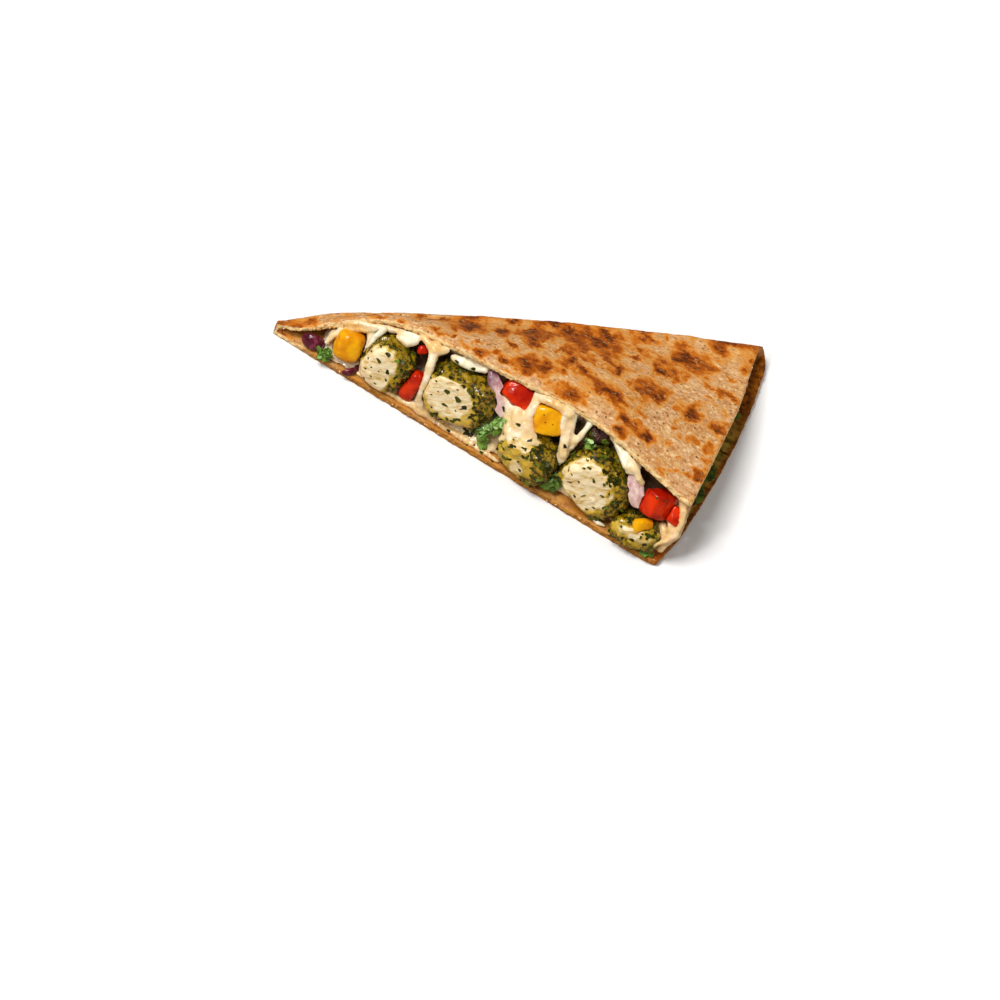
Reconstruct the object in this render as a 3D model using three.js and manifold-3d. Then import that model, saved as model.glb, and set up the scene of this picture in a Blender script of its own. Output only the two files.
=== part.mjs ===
// One wedge of a toasted wholemeal quesadilla: a tortilla folded in half over chicken in
// green herbs, sweet pepper, red onion and melted cheese, then cut. Millimetres, +Z up.
// The knife cut faces -Y, the fold is at the back, and the thin tip points to -X.
import * as THREE from "three";
import { mergeVertices } from "three/addons/utils/BufferGeometryUtils.js";
import Module from "manifold-3d";

const wasm = await Module();
wasm.setup();

// Plan of the wedge on the table, measured from the tip.
const CUT_LENGTH = 151;
const BACK_CORNER_X = 145.5;
const BACK_CORNER_Y = 98.4;
const FOLD_BULGE = 5.6;
const SIDE_BULGE = 3.2;
const CORNER_ROUND = 2.4;
const APEX_BEYOND_TIP = 3.6;
const TIP_SHARE = 0.027;

// The tortilla: one sheet, bent round at the fold.
const LEAF = 2.7;
const LEAF_AT_TIP = 1.8;
const FOLD_RADIUS = 3.6;
const TIP_RADIUS = 1.2;
const FOLD_SHARE = 0.22;
const SIDE_SETBACK = 2.1;
const FOLD_SETBACK = 2.6;
const LEAF_WAVE = 0.9;
const BLISTER = 0.28;
const EDGE_RAG = 0.5;

// The open mouth along the cut: how high the top leaf stands and how far back it sits.
const MOUTH_HEIGHT = [
  [0, 3.9], [9, 7], [20, 13.8], [33, 22.2], [58, 28], [109, 31.6], [126, 29.6], [150, 25.6],
];
const MOUTH_SETBACK = [[0, 0.5], [9, 2.6], [20, 8], [33, 12], [58, 12.8], [109, 13.8], [150, 9.4]];

const GAP = 0.35;
const CHEESE_GAP = 0.65;

const COLOURS = {
  tortilla: 0xcf9a68,
  cheese: 0xf0e2ae,
  chicken: 0xd8cf8a,
  yellowPepper: 0xf0b010,
  redPepper: 0xd42a12,
  onion: 0x8c4a78,
  parsley: 0x3f8a2a,
  spinach: 0x4c7a2c,
};

// Smooth unevenness from -1 to 1, the same on every run.
function uneven(x, y, z, seed = 0) {
  const a = Math.sin(x + 1.7 * seed + 1.3 * Math.sin(0.9 * y + seed));
  const b = Math.sin(1.1 * y + 2.1 * seed + 1.1 * Math.sin(1.2 * z - seed));
  const c = Math.sin(0.95 * z + 0.6 * seed + 1.2 * Math.sin(1.05 * x + seed));
  return (a + b + c) / 3;
}

// A smooth line through a few [x, value] pairs, read at any x.
function profile(pairs) {
  return (x) => {
    const last = pairs.length - 1;
    const at = Math.max(0, pairs.findLastIndex(([px]) => px <= x));
    if (at === last) return pairs[last][1];
    const [x0, y0] = pairs[at];
    const [x1, y1] = pairs[at + 1];
    const slope = (i) => {
      const [xa, ya] = pairs[Math.max(0, i - 1)];
      const [xb, yb] = pairs[Math.min(last, i + 1)];
      return (yb - ya) / (xb - xa);
    };
    const t = THREE.MathUtils.clamp((x - x0) / (x1 - x0), 0, 1);
    const run = x1 - x0;
    const start = (2 * t ** 3 - 3 * t ** 2 + 1) * y0 + (t ** 3 - 2 * t ** 2 + t) * run * slope(at);
    const end = (3 * t ** 2 - 2 * t ** 3) * y1 + (t ** 3 - t ** 2) * run * slope(at + 1);
    return start + end;
  };
}
const mouthHeight = profile(MOUTH_HEIGHT);
const mouthSetback = profile(MOUTH_SETBACK);

// Solids and geometries

function indexed(positions, index) {
  const geometry = new THREE.BufferGeometry();
  geometry.setAttribute("position", new THREE.Float32BufferAttribute(positions, 3));
  geometry.setIndex(index);
  return geometry;
}

function welded(source) {
  const geometry = source.clone();
  geometry.deleteAttribute("normal");
  geometry.deleteAttribute("uv");
  return mergeVertices(geometry, 1e-4);
}

function solidOf(geometry) {
  const whole = welded(geometry);
  return new wasm.Manifold(
    new wasm.Mesh({
      numProp: 3,
      vertProperties: new Float32Array(whole.attributes.position.array),
      triVerts: new Uint32Array(whole.index.array),
    }),
  );
}

function geometryOf(solid) {
  const { vertProperties, triVerts } = solid.getMesh();
  return indexed(Array.from(vertProperties), Array.from(triVerts));
}

// Turns a closed geometry whose faces point inwards the right way round.
function outward(geometry) {
  if (solidOf(geometry).volume() > 0) return geometry;
  const index = geometry.index.array;
  for (let i = 0; i < index.length; i += 3) [index[i + 1], index[i + 2]] = [index[i + 2], index[i + 1]];
  return geometry;
}

// The largest of the bodies that a cut leaves.
function largest(solid) {
  return solid.decompose().sort((a, b) => b.volume() - a.volume())[0];
}

// A closed solid through a row of rings of equally many points. Each end is zipped shut
// between its first half and its second.
function loft(rings) {
  const count = rings[0].length;
  const index = [];
  for (let r = 0; r + 1 < rings.length; r += 1)
    for (let i = 0; i < count; i += 1) {
      const a = r * count + i;
      const b = r * count + ((i + 1) % count);
      index.push(a, b, a + count, b, b + count, a + count);
    }
  const end = (rings.length - 1) * count;
  for (let i = 0; i + 1 < count / 2; i += 1) {
    const j = count - 1 - i;
    index.push(i, j, i + 1, i + 1, j, j - 1);
    index.push(end + i, end + i + 1, end + j, end + i + 1, end + j - 1, end + j);
  }
  return outward(indexed(rings.flat().flatMap((p) => p.toArray()), index));
}

// The same geometry, swollen by an even margin, to cut a seat for it in a neighbour.
function swollen(source, margin) {
  const geometry = welded(source);
  geometry.computeVertexNormals();
  const { position, normal } = geometry.attributes;
  const p = new THREE.Vector3();
  const n = new THREE.Vector3();
  for (let i = 0; i < position.count; i += 1) {
    p.fromBufferAttribute(position, i).addScaledVector(n.fromBufferAttribute(normal, i), margin);
    position.setXYZ(i, p.x, p.y, p.z);
  }
  geometry.deleteAttribute("normal");
  return geometry;
}

// The tortilla's middle surface. u runs from the tip to the side edge, and w from the
// front of the bottom leaf (0) to the fold (1 to 2) and back to the mouth (3).

const apex = new THREE.Vector2(-APEX_BEYOND_TIP, 0);
const frontCorner = new THREE.Vector2(CUT_LENGTH, 0);
const backCorner = new THREE.Vector2(BACK_CORNER_X, BACK_CORNER_Y);

function leafHalf(u) {
  return THREE.MathUtils.lerp(LEAF_AT_TIP, LEAF, THREE.MathUtils.smoothstep(u, 0.02, 0.16)) / 2;
}

function middle(u, w) {
  const front = apex.clone().lerp(frontCorner, u);
  const back = apex.clone().lerp(backCorner, u);
  const along = backCorner.clone().sub(apex).normalize();
  back.x -= along.y * FOLD_BULGE * 4 * u * (1 - u);
  back.y += along.x * FOLD_BULGE * 4 * u * (1 - u);
  const width = back.distanceTo(front);
  const radius = THREE.MathUtils.clamp(FOLD_SHARE * width, TIP_RADIUS, FOLD_RADIUS);
  const bottom = leafHalf(u);
  let depth = w * (width - radius);
  let height = bottom;
  if (w > 2) {
    const start = new THREE.Vector2(width - radius, bottom + 2 * radius);
    const end = new THREE.Vector2(mouthSetback(front.x), mouthHeight(front.x));
    const run = end.x - start.x;
    const rise = end.y - start.y;
    const leaf = new THREE.CubicBezierCurve(
      start,
      new THREE.Vector2(start.x + 0.2 * run, start.y + 0.12 * rise),
      new THREE.Vector2(end.x - 0.42 * run, end.y + 0.02 * rise),
      end,
    );
    const at = leaf.getPoint(w - 2);
    depth = at.x;
    height = at.y + LEAF_WAVE * (w - 2) * u * uneven(front.x / 9, depth / 9, 0, 2);
  } else if (w > 1) {
    const angle = (w - 1) * Math.PI;
    depth = width - radius + radius * Math.sin(angle);
    height = bottom + radius * (1 - Math.cos(angle));
  }
  const share = depth / width;
  const place = front.lerp(back, share);
  const upper = THREE.MathUtils.smoothstep(w, 1, 2);
  const bulge = 5.4 * share ** 1.5 * (1 - share) * SIDE_BULGE * (1 - upper);
  const setback = upper * (SIDE_SETBACK + FOLD_SETBACK * THREE.MathUtils.smoothstep(share, 0.6, 1));
  const corner = CORNER_ROUND * u ** 40 * (1 - Math.min(w, 1)) ** 24;
  const side = (bulge - setback) * u ** 5 - corner;
  return new THREE.Vector3(place.x + side, place.y + 0.3 * corner, height);
}

// The direction into the fold, square to the sheet.
function inward(u, w) {
  if (w <= 1) return new THREE.Vector3(0, 0, 1);
  const step = 1e-3;
  const across = middle(u + step, w).sub(middle(u - step, w));
  const round = middle(u, w + step).sub(middle(u, w - step));
  return across.cross(round).normalize();
}

// A point on the sheet, a distance from its middle towards the filling.
function onSheet(u, w, distance) {
  return middle(u, w).addScaledVector(inward(u, w), distance);
}

function steps(from, to, count) {
  return Array.from({ length: count }, (_, i) => from + ((to - from) * i) / (count - 1));
}

const SHEET_U = steps(0, 1, 29).map((t) => TIP_SHARE + (1 - TIP_SHARE) * t ** 1.15);
const SHEET_W = [...steps(0, 1, 7), ...steps(1.17, 2, 6), ...steps(2.08, 2.999, 12)];

// The folded sheet, thicker by a margin on each side, with blisters on its outer face.
function foldedTortilla(margin = 0, stations = SHEET_U) {
  const rings = stations.map((u) => {
    const half = leafHalf(u) + margin;
    const outer = SHEET_W.map((w) => {
      const p = onSheet(u, w, -half);
      const relief = w > 1.2 ? BLISTER * uneven(p.x / 3.1, p.y / 3.1, p.z / 3.1, 5) : 0;
      return p.addScaledVector(inward(u, w), -relief);
    });
    const inner = SHEET_W.map((w) => onSheet(u, w, half)).reverse();
    return [...outer, ...inner];
  });
  const rag = (p) => (p.x < CUT_LENGTH / 2 ? 0.4 : 1) * EDGE_RAG;
  rings.forEach((ring) => {
    for (const i of [0, ring.length - 1, SHEET_W.length - 1, SHEET_W.length])
      ring[i].y += rag(ring[i]) * uneven(ring[i].x / 2.3, 0, ring[i].z / 9, 7);
  });
  return loft(rings);
}

// The filling's pieces, each made round its own centre

// A lump of meat: a rounded block, uneven all over, with one flat face where the knife went.
function meatLump([a, b, c], cut, seed) {
  const lump = welded(new THREE.BoxGeometry(2, 2, 2, 4, 4, 4));
  const squareness = 3.2;
  const { position } = lump.attributes;
  const p = new THREE.Vector3();
  for (let i = 0; i < position.count; i += 1) {
    p.fromBufferAttribute(position, i);
    const sum = Math.abs(p.x) ** squareness + Math.abs(p.y) ** squareness + Math.abs(p.z) ** squareness;
    p.multiplyScalar(sum ** (-1 / squareness));
    const rough = 1 + 0.07 * uneven(2.6 * p.x, 2.6 * p.y, 2.6 * p.z, seed);
    p.multiply(new THREE.Vector3(a, b, c)).multiplyScalar(rough);
    p.y = Math.max(p.y, -cut * b + 0.25 * uneven(p.x / 2, 0, p.z / 2, seed));
    position.setXYZ(i, p.x, p.y, p.z);
  }
  return lump;
}

// Herb flakes stuck to a lump, spread round it on a golden spiral and fused on.
function withFlakes(lump, [a, b, c], cut, seed, margin = 0) {
  const flakes = 5;
  const golden = Math.PI * (3 - Math.sqrt(5));
  let solid = solidOf(lump);
  for (let i = 0; i < flakes; i += 1) {
    const up = 0.9 - (1.5 * i) / (flakes - 1);
    const round = Math.sqrt(1 - up * up);
    const turn = golden * i + seed;
    const out = new THREE.Vector3(Math.cos(turn) * round, Math.sin(turn) * round, up);
    const place = out.clone().multiply(new THREE.Vector3(a, b, c)).multiplyScalar(1.04);
    place.y = Math.max(place.y, -cut * b);
    const flake = new THREE.OctahedronGeometry(1);
    flake.scale(1.5 + margin, 0.9 + margin, 0.6 + margin);
    const facing = new THREE.Quaternion().setFromUnitVectors(new THREE.Vector3(0, 0, 1), out);
    flake.applyQuaternion(facing).translate(place.x, place.y, place.z);
    solid = solid.add(solidOf(flake));
  }
  return geometryOf(largest(solid));
}

// A diced piece of pepper wall: a slab with rounded edges, bent like the fruit it came from.
function pepperDice([length, width, thick], bend, seed) {
  const dice = welded(new THREE.BoxGeometry(2, 2, 2, 3, 3, 2));
  const squareness = 5;
  const { position } = dice.attributes;
  const p = new THREE.Vector3();
  for (let i = 0; i < position.count; i += 1) {
    p.fromBufferAttribute(position, i);
    const sum = Math.abs(p.x) ** squareness + Math.abs(p.y) ** squareness + Math.abs(p.z) ** squareness;
    p.multiplyScalar(sum ** (-1 / squareness));
    p.multiplyScalar(1 + 0.05 * uneven(2 * p.x, 2 * p.y, 2 * p.z, seed));
    p.z -= bend * p.x * p.x;
    position.setXYZ(i, (p.x * length) / 2, (p.y * width) / 2, (p.z * thick) / 2);
  }
  return dice;
}

// A slice of onion: a strip curved like part of a ring, thinner towards both ends.
function onionStrip([length, width, thick], arc, seed) {
  const radius = length / arc;
  const sides = 6;
  const rings = steps(-0.5, 0.5, 7).map((t) => {
    const angle = t * arc;
    const taper = 0.35 + 0.65 * Math.cos(t * Math.PI) ** 0.6;
    return Array.from({ length: sides }, (_, i) => {
      const turn = ((i + 0.5) / sides) * 2 * Math.PI;
      const across = (Math.cos(turn) * width * taper) / 2;
      const out = radius + (Math.sin(turn) * thick * taper) / 2;
      const sway = 0.25 * uneven(4 * t, 0, 0, seed);
      return new THREE.Vector3(out * Math.sin(angle), across + sway, out * Math.cos(angle) - radius);
    });
  });
  return loft(rings);
}

// A thin wavy leaf. Both faces are split into triangles alike.
function leaf(length, width, { spokes, lobes, depth, wave, curl, thick = 0.6, seed }) {
  const rows = [0.5, 1];
  const positions = [];
  const index = [];
  const point = (share, spoke, side) => {
    const angle = (spoke / spokes) * 2 * Math.PI;
    const edge = 1 - depth * (0.5 + 0.5 * Math.cos(lobes * angle + Math.PI));
    const x = (share * edge * Math.cos(angle) * length) / 2;
    const y = (share * edge * Math.sin(angle) * width) / 2;
    const ripple = wave * share * Math.sin(2.5 * angle + seed) + curl * (x / length) ** 2 * length;
    return [x, y, ripple + (side * thick) / 2];
  };
  for (const side of [1, -1]) {
    positions.push(...point(0, 0, side));
    for (const share of rows)
      for (let spoke = 0; spoke < spokes; spoke += 1) positions.push(...point(share, spoke, side));
  }
  const perFace = 1 + rows.length * spokes;
  for (let spoke = 0; spoke < spokes; spoke += 1) {
    const next = (spoke + 1) % spokes;
    const a = 1 + spoke;
    const b = 1 + next;
    const c = a + spokes;
    const d = b + spokes;
    const face = [0, a, b, a, c, b, b, c, d];
    index.push(...face);
    for (let i = 0; i < face.length; i += 3)
      index.push(perFace + face[i], perFace + face[i + 2], perFace + face[i + 1]);
    index.push(c, perFace + c, d, d, perFace + c, perFace + d);
  }
  return outward(indexed(positions, index));
}

// A strand of melted cheese, thick where it joins and thin in the middle.
function strand(points, ends, waist) {
  const path = new THREE.CatmullRomCurve3(points.map((p) => new THREE.Vector3(...p)));
  const sides = 6;
  const count = 7;
  const frames = path.computeFrenetFrames(count - 1, false);
  const rings = steps(0, 1, count).map((t, i) => {
    const centre = path.getPointAt(t);
    const radius = waist + (ends - waist) * Math.abs(2 * t - 1) ** 1.6;
    return Array.from({ length: sides }, (_, k) => {
      const turn = (k / sides) * 2 * Math.PI;
      return centre
        .clone()
        .addScaledVector(frames.normals[i], Math.cos(turn) * radius)
        .addScaledVector(frames.binormals[i], Math.sin(turn) * radius);
    });
  });
  return loft(rings);
}

// The melted cheese: it fills the fold from end to end and slumps out of the mouth.
const CHEESE_FROM = 0.13;
const CHEESE_TO = 0.968;
const CHEESE_STATIONS = 30;
const WALL_HOLLOW = 6;
const STRANDS = [
  {
    ends: 2.4,
    waist: 1.5,
    points: [[48.4, 15, 26], [50.2, 8.5, 23.6], [51.8, 4.6, 18.6], [52.8, 3, 10.8], [56, 3.4, 2.8]],
  },
  { ends: 3.2, waist: 2, points: [[97.5, 16.5, 29], [100.5, 11, 24.6], [103, 7, 19], [104.5, 8, 11]] },
  { ends: 2, waist: 1.2, points: [[114.5, 16.5, 29], [120, 12.4, 26.9], [124, 9.8, 25.2], [126.6, 12.5, 23.4]] },
  { ends: 2.2, waist: 1.7, points: [[124.4, 17.5, 26.4], [126.8, 12, 24.2], [129, 11, 20], [130, 13, 14]] },
  {
    ends: 2.4,
    waist: 1.6,
    points: [[145, 13.5, 24.2], [148.2, 9.6, 20], [148.8, 6.8, 12.6], [147, 5.4, 6], [142, 7, 4.4]],
  },
  { ends: 2.2, waist: 1.5, points: [[28, 12, 17], [30, 6.6, 12], [30, 5, 5]] },
  { ends: 3.4, waist: 3, points: [[80, 16, 26], [81, 11, 20.4], [83, 8, 15], [86, 9, 8]] },
  { ends: 2.8, waist: 2.2, points: [[86.4, 17, 28.4], [86.8, 11.6, 23.4], [86.4, 8, 18], [85, 6, 12]] },
];

function meltedCheese() {
  const half = LEAF / 2 + CHEESE_GAP;
  const rings = steps(CHEESE_FROM, CHEESE_TO, CHEESE_STATIONS).map((u, i) => {
    const flow = 0.055 + 0.035 * uneven(i * 0.9, 0, 0, 3);
    const below = [...steps(flow, 1, 6), 1.25, 1.5];
    const above = [1.75, 2, ...steps(2.1, 2.95 - 0.04 * uneven(i * 0.7, 0, 0, 8), 6)];
    const low = onSheet(u, below[0], half);
    const high = onSheet(u, above.at(-1), half);
    const wall = steps(0, 1, 6).slice(1, -1).map((t) => {
      const p = high.clone().lerp(low, t);
      const hollow = WALL_HOLLOW * Math.sin(Math.PI * t) * Math.min(1, 3 * u);
      p.y += hollow + 1.1 * uneven(i * 0.8, t * 5, 0, 4) * Math.min(1, 2 * u);
      return p;
    });
    const loop = [
      ...below.map((w) => onSheet(u, w, half)),
      ...above.map((w) => onSheet(u, w, half)),
      ...wall,
    ];
    const sag = i === CHEESE_STATIONS - 1 ? 1.2 : 0;
    loop.forEach((p, k) => {
      p.x += sag * uneven(k * 1.1, 0, 0, 6);
    });
    return [...loop.slice(8), ...loop.slice(0, 8)];
  });
  return solidOf(loft(rings));
}

// Every strand that hangs in the mouth, as one solid.
function strands() {
  return STRANDS.map((s) => solidOf(strand(s.points, s.ends, s.waist))).reduce((a, b) => a.add(b));
}

// Putting the wedge together

const wedge = new THREE.Group();
wedge.name = "quesadilla_wedge";

function material(colour, roughness) {
  return new THREE.MeshStandardMaterial({ color: colour, roughness, metalness: 0 });
}
const finishes = {
  tortilla: material(COLOURS.tortilla, 0.8),
  cheese: material(COLOURS.cheese, 0.35),
  chicken: material(COLOURS.chicken, 0.55),
  yellowPepper: material(COLOURS.yellowPepper, 0.3),
  redPepper: material(COLOURS.redPepper, 0.3),
  onion: material(COLOURS.onion, 0.35),
  parsley: material(COLOURS.parsley, 0.5),
  spinach: material(COLOURS.spinach, 0.45),
};

// Places a piece by its centre and its turns about X, Y and Z in degrees.
function place(name, geometry, finish, at, turns = [0, 0, 0]) {
  const mesh = new THREE.Mesh(geometry, finish);
  mesh.name = name;
  mesh.position.set(...at);
  mesh.rotation.set(...turns.map(THREE.MathUtils.degToRad));
  mesh.updateMatrixWorld(true);
  wedge.add(mesh);
  return mesh;
}

// The seats that the pieces placed so far need, each a little larger than its piece.
const seats = [];

function keepSeat(geometry) {
  geometry.computeBoundingBox();
  seats.push({ solid: solidOf(geometry), box: geometry.boundingBox });
}

// Trims a piece where it would run into those placed before it, and keeps a seat for it.
function settle(mesh, seat = swollen(mesh.geometry, GAP)) {
  const box = new THREE.Box3().setFromObject(mesh);
  const whole = solidOf(welded(mesh.geometry).applyMatrix4(mesh.matrixWorld));
  const trimmed = seats
    .filter((other) => other.box.intersectsBox(box))
    .reduce((solid, other) => solid.subtract(other.solid), whole);
  if (trimmed.volume() < whole.volume() - 1e-6)
    mesh.geometry = geometryOf(largest(trimmed)).applyMatrix4(mesh.matrixWorld.clone().invert());
  keepSeat(seat.clone().applyMatrix4(mesh.matrixWorld));
}

place("tortilla", foldedTortilla(), finishes.tortilla, [0, 0, 0]);
keepSeat(foldedTortilla(GAP, SHEET_U.slice(2)));

// Chicken in herbs, lumps along the cut: half sizes, where the knife went, place, turns.
const CHICKEN = [
  { half: [8.2, 8, 9.2], cut: 0.86, at: [38.1, 7, 11.2], turns: [-14, 6, 8] },
  { half: [11.9, 9, 9.8], cut: 0.82, at: [64.2, 9.6, 13.9], turns: [-16, -4, 4] },
  { half: [10.2, 8, 7.8], cut: 0.84, at: [93.6, 5.6, 10.8], turns: [-8, 10, -6] },
  { half: [12.6, 9, 9.9], cut: 0.8, at: [117.6, 8.8, 13.6], turns: [-18, 27, 8] },
  { half: [8.8, 6.4, 4.6], cut: 0.88, at: [137, 4.6, 7.4], turns: [-10, -6, 8] },
  { half: [4, 3.4, 3], cut: 0.9, at: [110.4, 16.2, 25], turns: [10, 14, 30] },
];
CHICKEN.forEach(({ half, cut, at, turns }, i) => {
  const meat = meatLump(half, cut, i + 1);
  const herbs = half[0] > 6;
  const lump = herbs ? withFlakes(meat, half, cut, i + 1) : meat;
  const seat = herbs ? withFlakes(swollen(meat, GAP), half, cut, i + 1, GAP) : swollen(meat, GAP);
  settle(place(`chicken_${i + 1}`, lump, finishes.chicken, at, turns), seat);
});

const YELLOW_PEPPER = [
  { size: [10.4, 11.4, 8], bend: 0.3, at: [24.3, 5, 10.1], turns: [62, 8, 10] },
  { size: [11.5, 10.5, 7], bend: 0.2, at: [93.6, 11.8, 23.6], turns: [48, 12, 24] },
  { size: [7.6, 5.6, 4], bend: 0.15, at: [138.2, 3, 12.6], turns: [50, 32, 20] },
];
YELLOW_PEPPER.forEach(({ size, bend, at, turns }, i) => {
  const dice = pepperDice(size, bend, i + 11);
  settle(place(`yellow_pepper_${i + 1}`, dice, finishes.yellowPepper, at, turns));
});

const RED_PEPPER = [
  { size: [13.6, 6.2, 5.2], bend: 0.1, at: [48.8, 4.8, 9.8], turns: [79, -4, -94] },
  { size: [11.4, 8.5, 7.5], bend: 0.25, at: [80.4, 14.4, 23.8], turns: [40, 6, -8] },
  { size: [12, 10, 7.5], bend: 0.2, at: [139, 10.6, 17.9], turns: [52, 52, 10] },
  { size: [7, 6.4, 5.5], bend: 0.2, at: [145.8, 10.6, 16.8], turns: [40, 20, 0] },
  { size: [3.8, 3, 2.6], bend: 0.2, at: [46, 11.2, 21], turns: [35, 0, 30] },
];
RED_PEPPER.forEach(({ size, bend, at, turns }, i) => {
  const dice = pepperDice(size, bend, i + 21);
  settle(place(`red_pepper_${i + 1}`, dice, finishes.redPepper, at, turns));
});

const ONION = [
  { size: [9, 6.5, 3.6], arc: 1.6, at: [13.9, 2, 5.4], turns: [60, 20, 0] },
  { size: [7, 3.6, 2.2], arc: 1.2, at: [29.6, 1.2, 3.9], turns: [70, 50, 20] },
  { size: [17, 6, 2.2], arc: 0.5, at: [74.4, 10.6, 22.4], turns: [47, 8, -46] },
  { size: [14, 6.6, 2.2], arc: 0.5, at: [129.4, 8.6, 20.6], turns: [51, 9, -56] },
];
ONION.forEach(({ size, arc, at, turns }, i) => {
  const strip = onionStrip(size, arc, i + 31);
  settle(place(`red_onion_${i + 1}`, strip, finishes.onion, at, turns));
});

const PARSLEY = [
  { size: [7.5, 6.5], at: [19.2, 0.2, 5.4], turns: [62, 10, 20] },
  { size: [9, 7.6], at: [76, 5, 9.6], turns: [50, -20, 10] },
  { size: [8.6, 7.4], at: [80.4, 6.8, 13.2], turns: [42, 25, 60] },
  { size: [7, 5.5], at: [78.6, 3.2, 6.2], turns: [70, 10, 110] },
  { size: [8, 6.5], at: [105.2, 3.4, 5.4], turns: [60, -12, 30] },
  { size: [6.5, 5], at: [103.8, 2.2, 6.4], turns: [55, 15, 80] },
  { size: [5, 4], at: [109.4, 9.6, 25.8], turns: [10, 10, 40] },
  { size: [6, 4.5], at: [143.6, 1.8, 4], turns: [25, 20, 70] },
];
PARSLEY.forEach(({ size: [length, width], at, turns }, i) => {
  const shape = leaf(length, width, { spokes: 10, lobes: 5, depth: 0.3, wave: 0.7, curl: 0.35, seed: i + 41 });
  settle(place(`parsley_${i + 1}`, shape, finishes.parsley, at, turns));
});

const SPINACH = [
  { size: [13, 12], at: [144.3, 21.5, 17.6], turns: [24, 14, 12] },
  { size: [14, 12], at: [143.6, 35, 14.8], turns: [18, 10, -8] },
  { size: [12, 10], at: [141.4, 66.5, 8.8], turns: [-12, 10, 6] },
];
SPINACH.forEach(({ size: [length, width], at, turns }, i) => {
  const ways = { spokes: 12, lobes: 3, depth: 0.12, wave: 1.2, curl: 0.2, thick: 0.7, seed: i };
  const shape = leaf(length, width, ways);
  settle(place(`spinach_${i + 1}`, shape, finishes.spinach, at, turns));
});

// The cheese keeps its own distance from the tortilla, and only its strands are trimmed to it.
const [tortillaSeat, ...pieceSeats] = seats;
const hanging = strands().subtract(tortillaSeat.solid);
const cheese = pieceSeats.reduce((solid, seat) => solid.subtract(seat.solid), meltedCheese().add(hanging));
place("melted_cheese", geometryOf(largest(cheese)), finishes.cheese, [0, 0, 0]);

// The frame's origin is under the middle of the wedge, on the table.
const bounds = new THREE.Box3().setFromObject(wedge, true);
const centre = bounds.getCenter(new THREE.Vector3());
wedge.position.set(-centre.x, -centre.y, -bounds.min.z);

export default wedge;
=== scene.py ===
import math

import bpy
import numpy as np
from mathutils import Matrix, Vector
from mathutils.bvhtree import BVHTree


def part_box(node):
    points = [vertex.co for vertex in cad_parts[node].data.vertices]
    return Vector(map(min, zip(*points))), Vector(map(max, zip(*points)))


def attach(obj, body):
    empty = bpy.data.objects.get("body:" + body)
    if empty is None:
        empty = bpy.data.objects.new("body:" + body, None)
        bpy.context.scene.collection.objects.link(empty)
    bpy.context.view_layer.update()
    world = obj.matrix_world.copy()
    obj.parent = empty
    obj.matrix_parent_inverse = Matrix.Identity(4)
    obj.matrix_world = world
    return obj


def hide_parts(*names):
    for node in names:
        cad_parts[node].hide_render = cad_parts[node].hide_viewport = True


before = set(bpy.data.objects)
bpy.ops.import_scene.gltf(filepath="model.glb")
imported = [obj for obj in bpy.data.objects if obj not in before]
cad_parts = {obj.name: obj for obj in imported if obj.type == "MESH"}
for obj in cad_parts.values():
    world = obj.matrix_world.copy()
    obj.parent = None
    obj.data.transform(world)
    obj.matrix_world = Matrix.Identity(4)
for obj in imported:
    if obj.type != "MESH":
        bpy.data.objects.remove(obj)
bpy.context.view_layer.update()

# The table and the light
# A pale matt table top in a white room, with a broad soft lamp over the tip of the wedge and
# a small one for the glints. The camera stands far back with a long lens, and is rolled.

MM = 0.001
FLOOR_SPREAD = 2.4
FLOOR_WHITE = (0.92, 0.945, 0.985, 1)
BOARD_TAN = (0.42, 0.33, 0.24, 1)
ROOM_LIGHT = 0.42
ROOM_MIRRORED = 0.1
ROOM_WHITE = (1, 0.955, 0.89, 1)
LAMP_POWER = 2.4
LAMP_SPREAD = 0.34
LAMP_WHITE = (1, 0.965, 0.91)
LAMP_FROM = (-0.52, -0.3, 1.05)
GLINT_POWER = 1.8
GLINT_SIZE = 0.1
GLINT_PLACE = (-0.35, -0.55, 0.75)

# The cut runs along +X from here, and the camera looks at it from 52 degrees up.
tip_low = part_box("tortilla")[0]
CUT_START = Vector((tip_low.x + 0.6 * MM, tip_low.y + 0.15 * MM, 0))
CAMERA_ELEVATION = math.radians(52)
CAMERA_ROLL = math.radians(31.59)
CAMERA_LENS = 600
CAMERA_SENSOR = 36
PHOTO_WIDTH = 0.33
AIM = CUT_START + Vector((93.5, -9.1, 0)) * MM

bpy.ops.mesh.primitive_plane_add(size=FLOOR_SPREAD)
table_top = bpy.context.object
table_top.name = "table_top"
table_paint = bpy.data.materials.new("table_paint")
table_paint.use_nodes = True
paint_shader = table_paint.node_tree.nodes["Principled BSDF"]
paint_shader.inputs["Roughness"].default_value = 0.9
table_top.data.materials.append(table_paint)

# The camera sees the table white, and the food is lit from below as by a dull warm board.
table_ray = table_paint.node_tree.nodes.new("ShaderNodeLightPath")
board = table_paint.node_tree.nodes.new("ShaderNodeMix")
board.data_type = "RGBA"
board.inputs[6].default_value = BOARD_TAN
board.inputs[7].default_value = FLOOR_WHITE
table_paint.node_tree.links.new(table_ray.outputs["Is Camera Ray"], board.inputs[0])
table_paint.node_tree.links.new(board.outputs[2], paint_shader.inputs["Base Color"])

room = bpy.data.worlds.new("room")
room.use_nodes = True
walls = room.node_tree.nodes["Background"]
walls.inputs["Color"].default_value = ROOM_WHITE
bpy.context.scene.world = room

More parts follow.
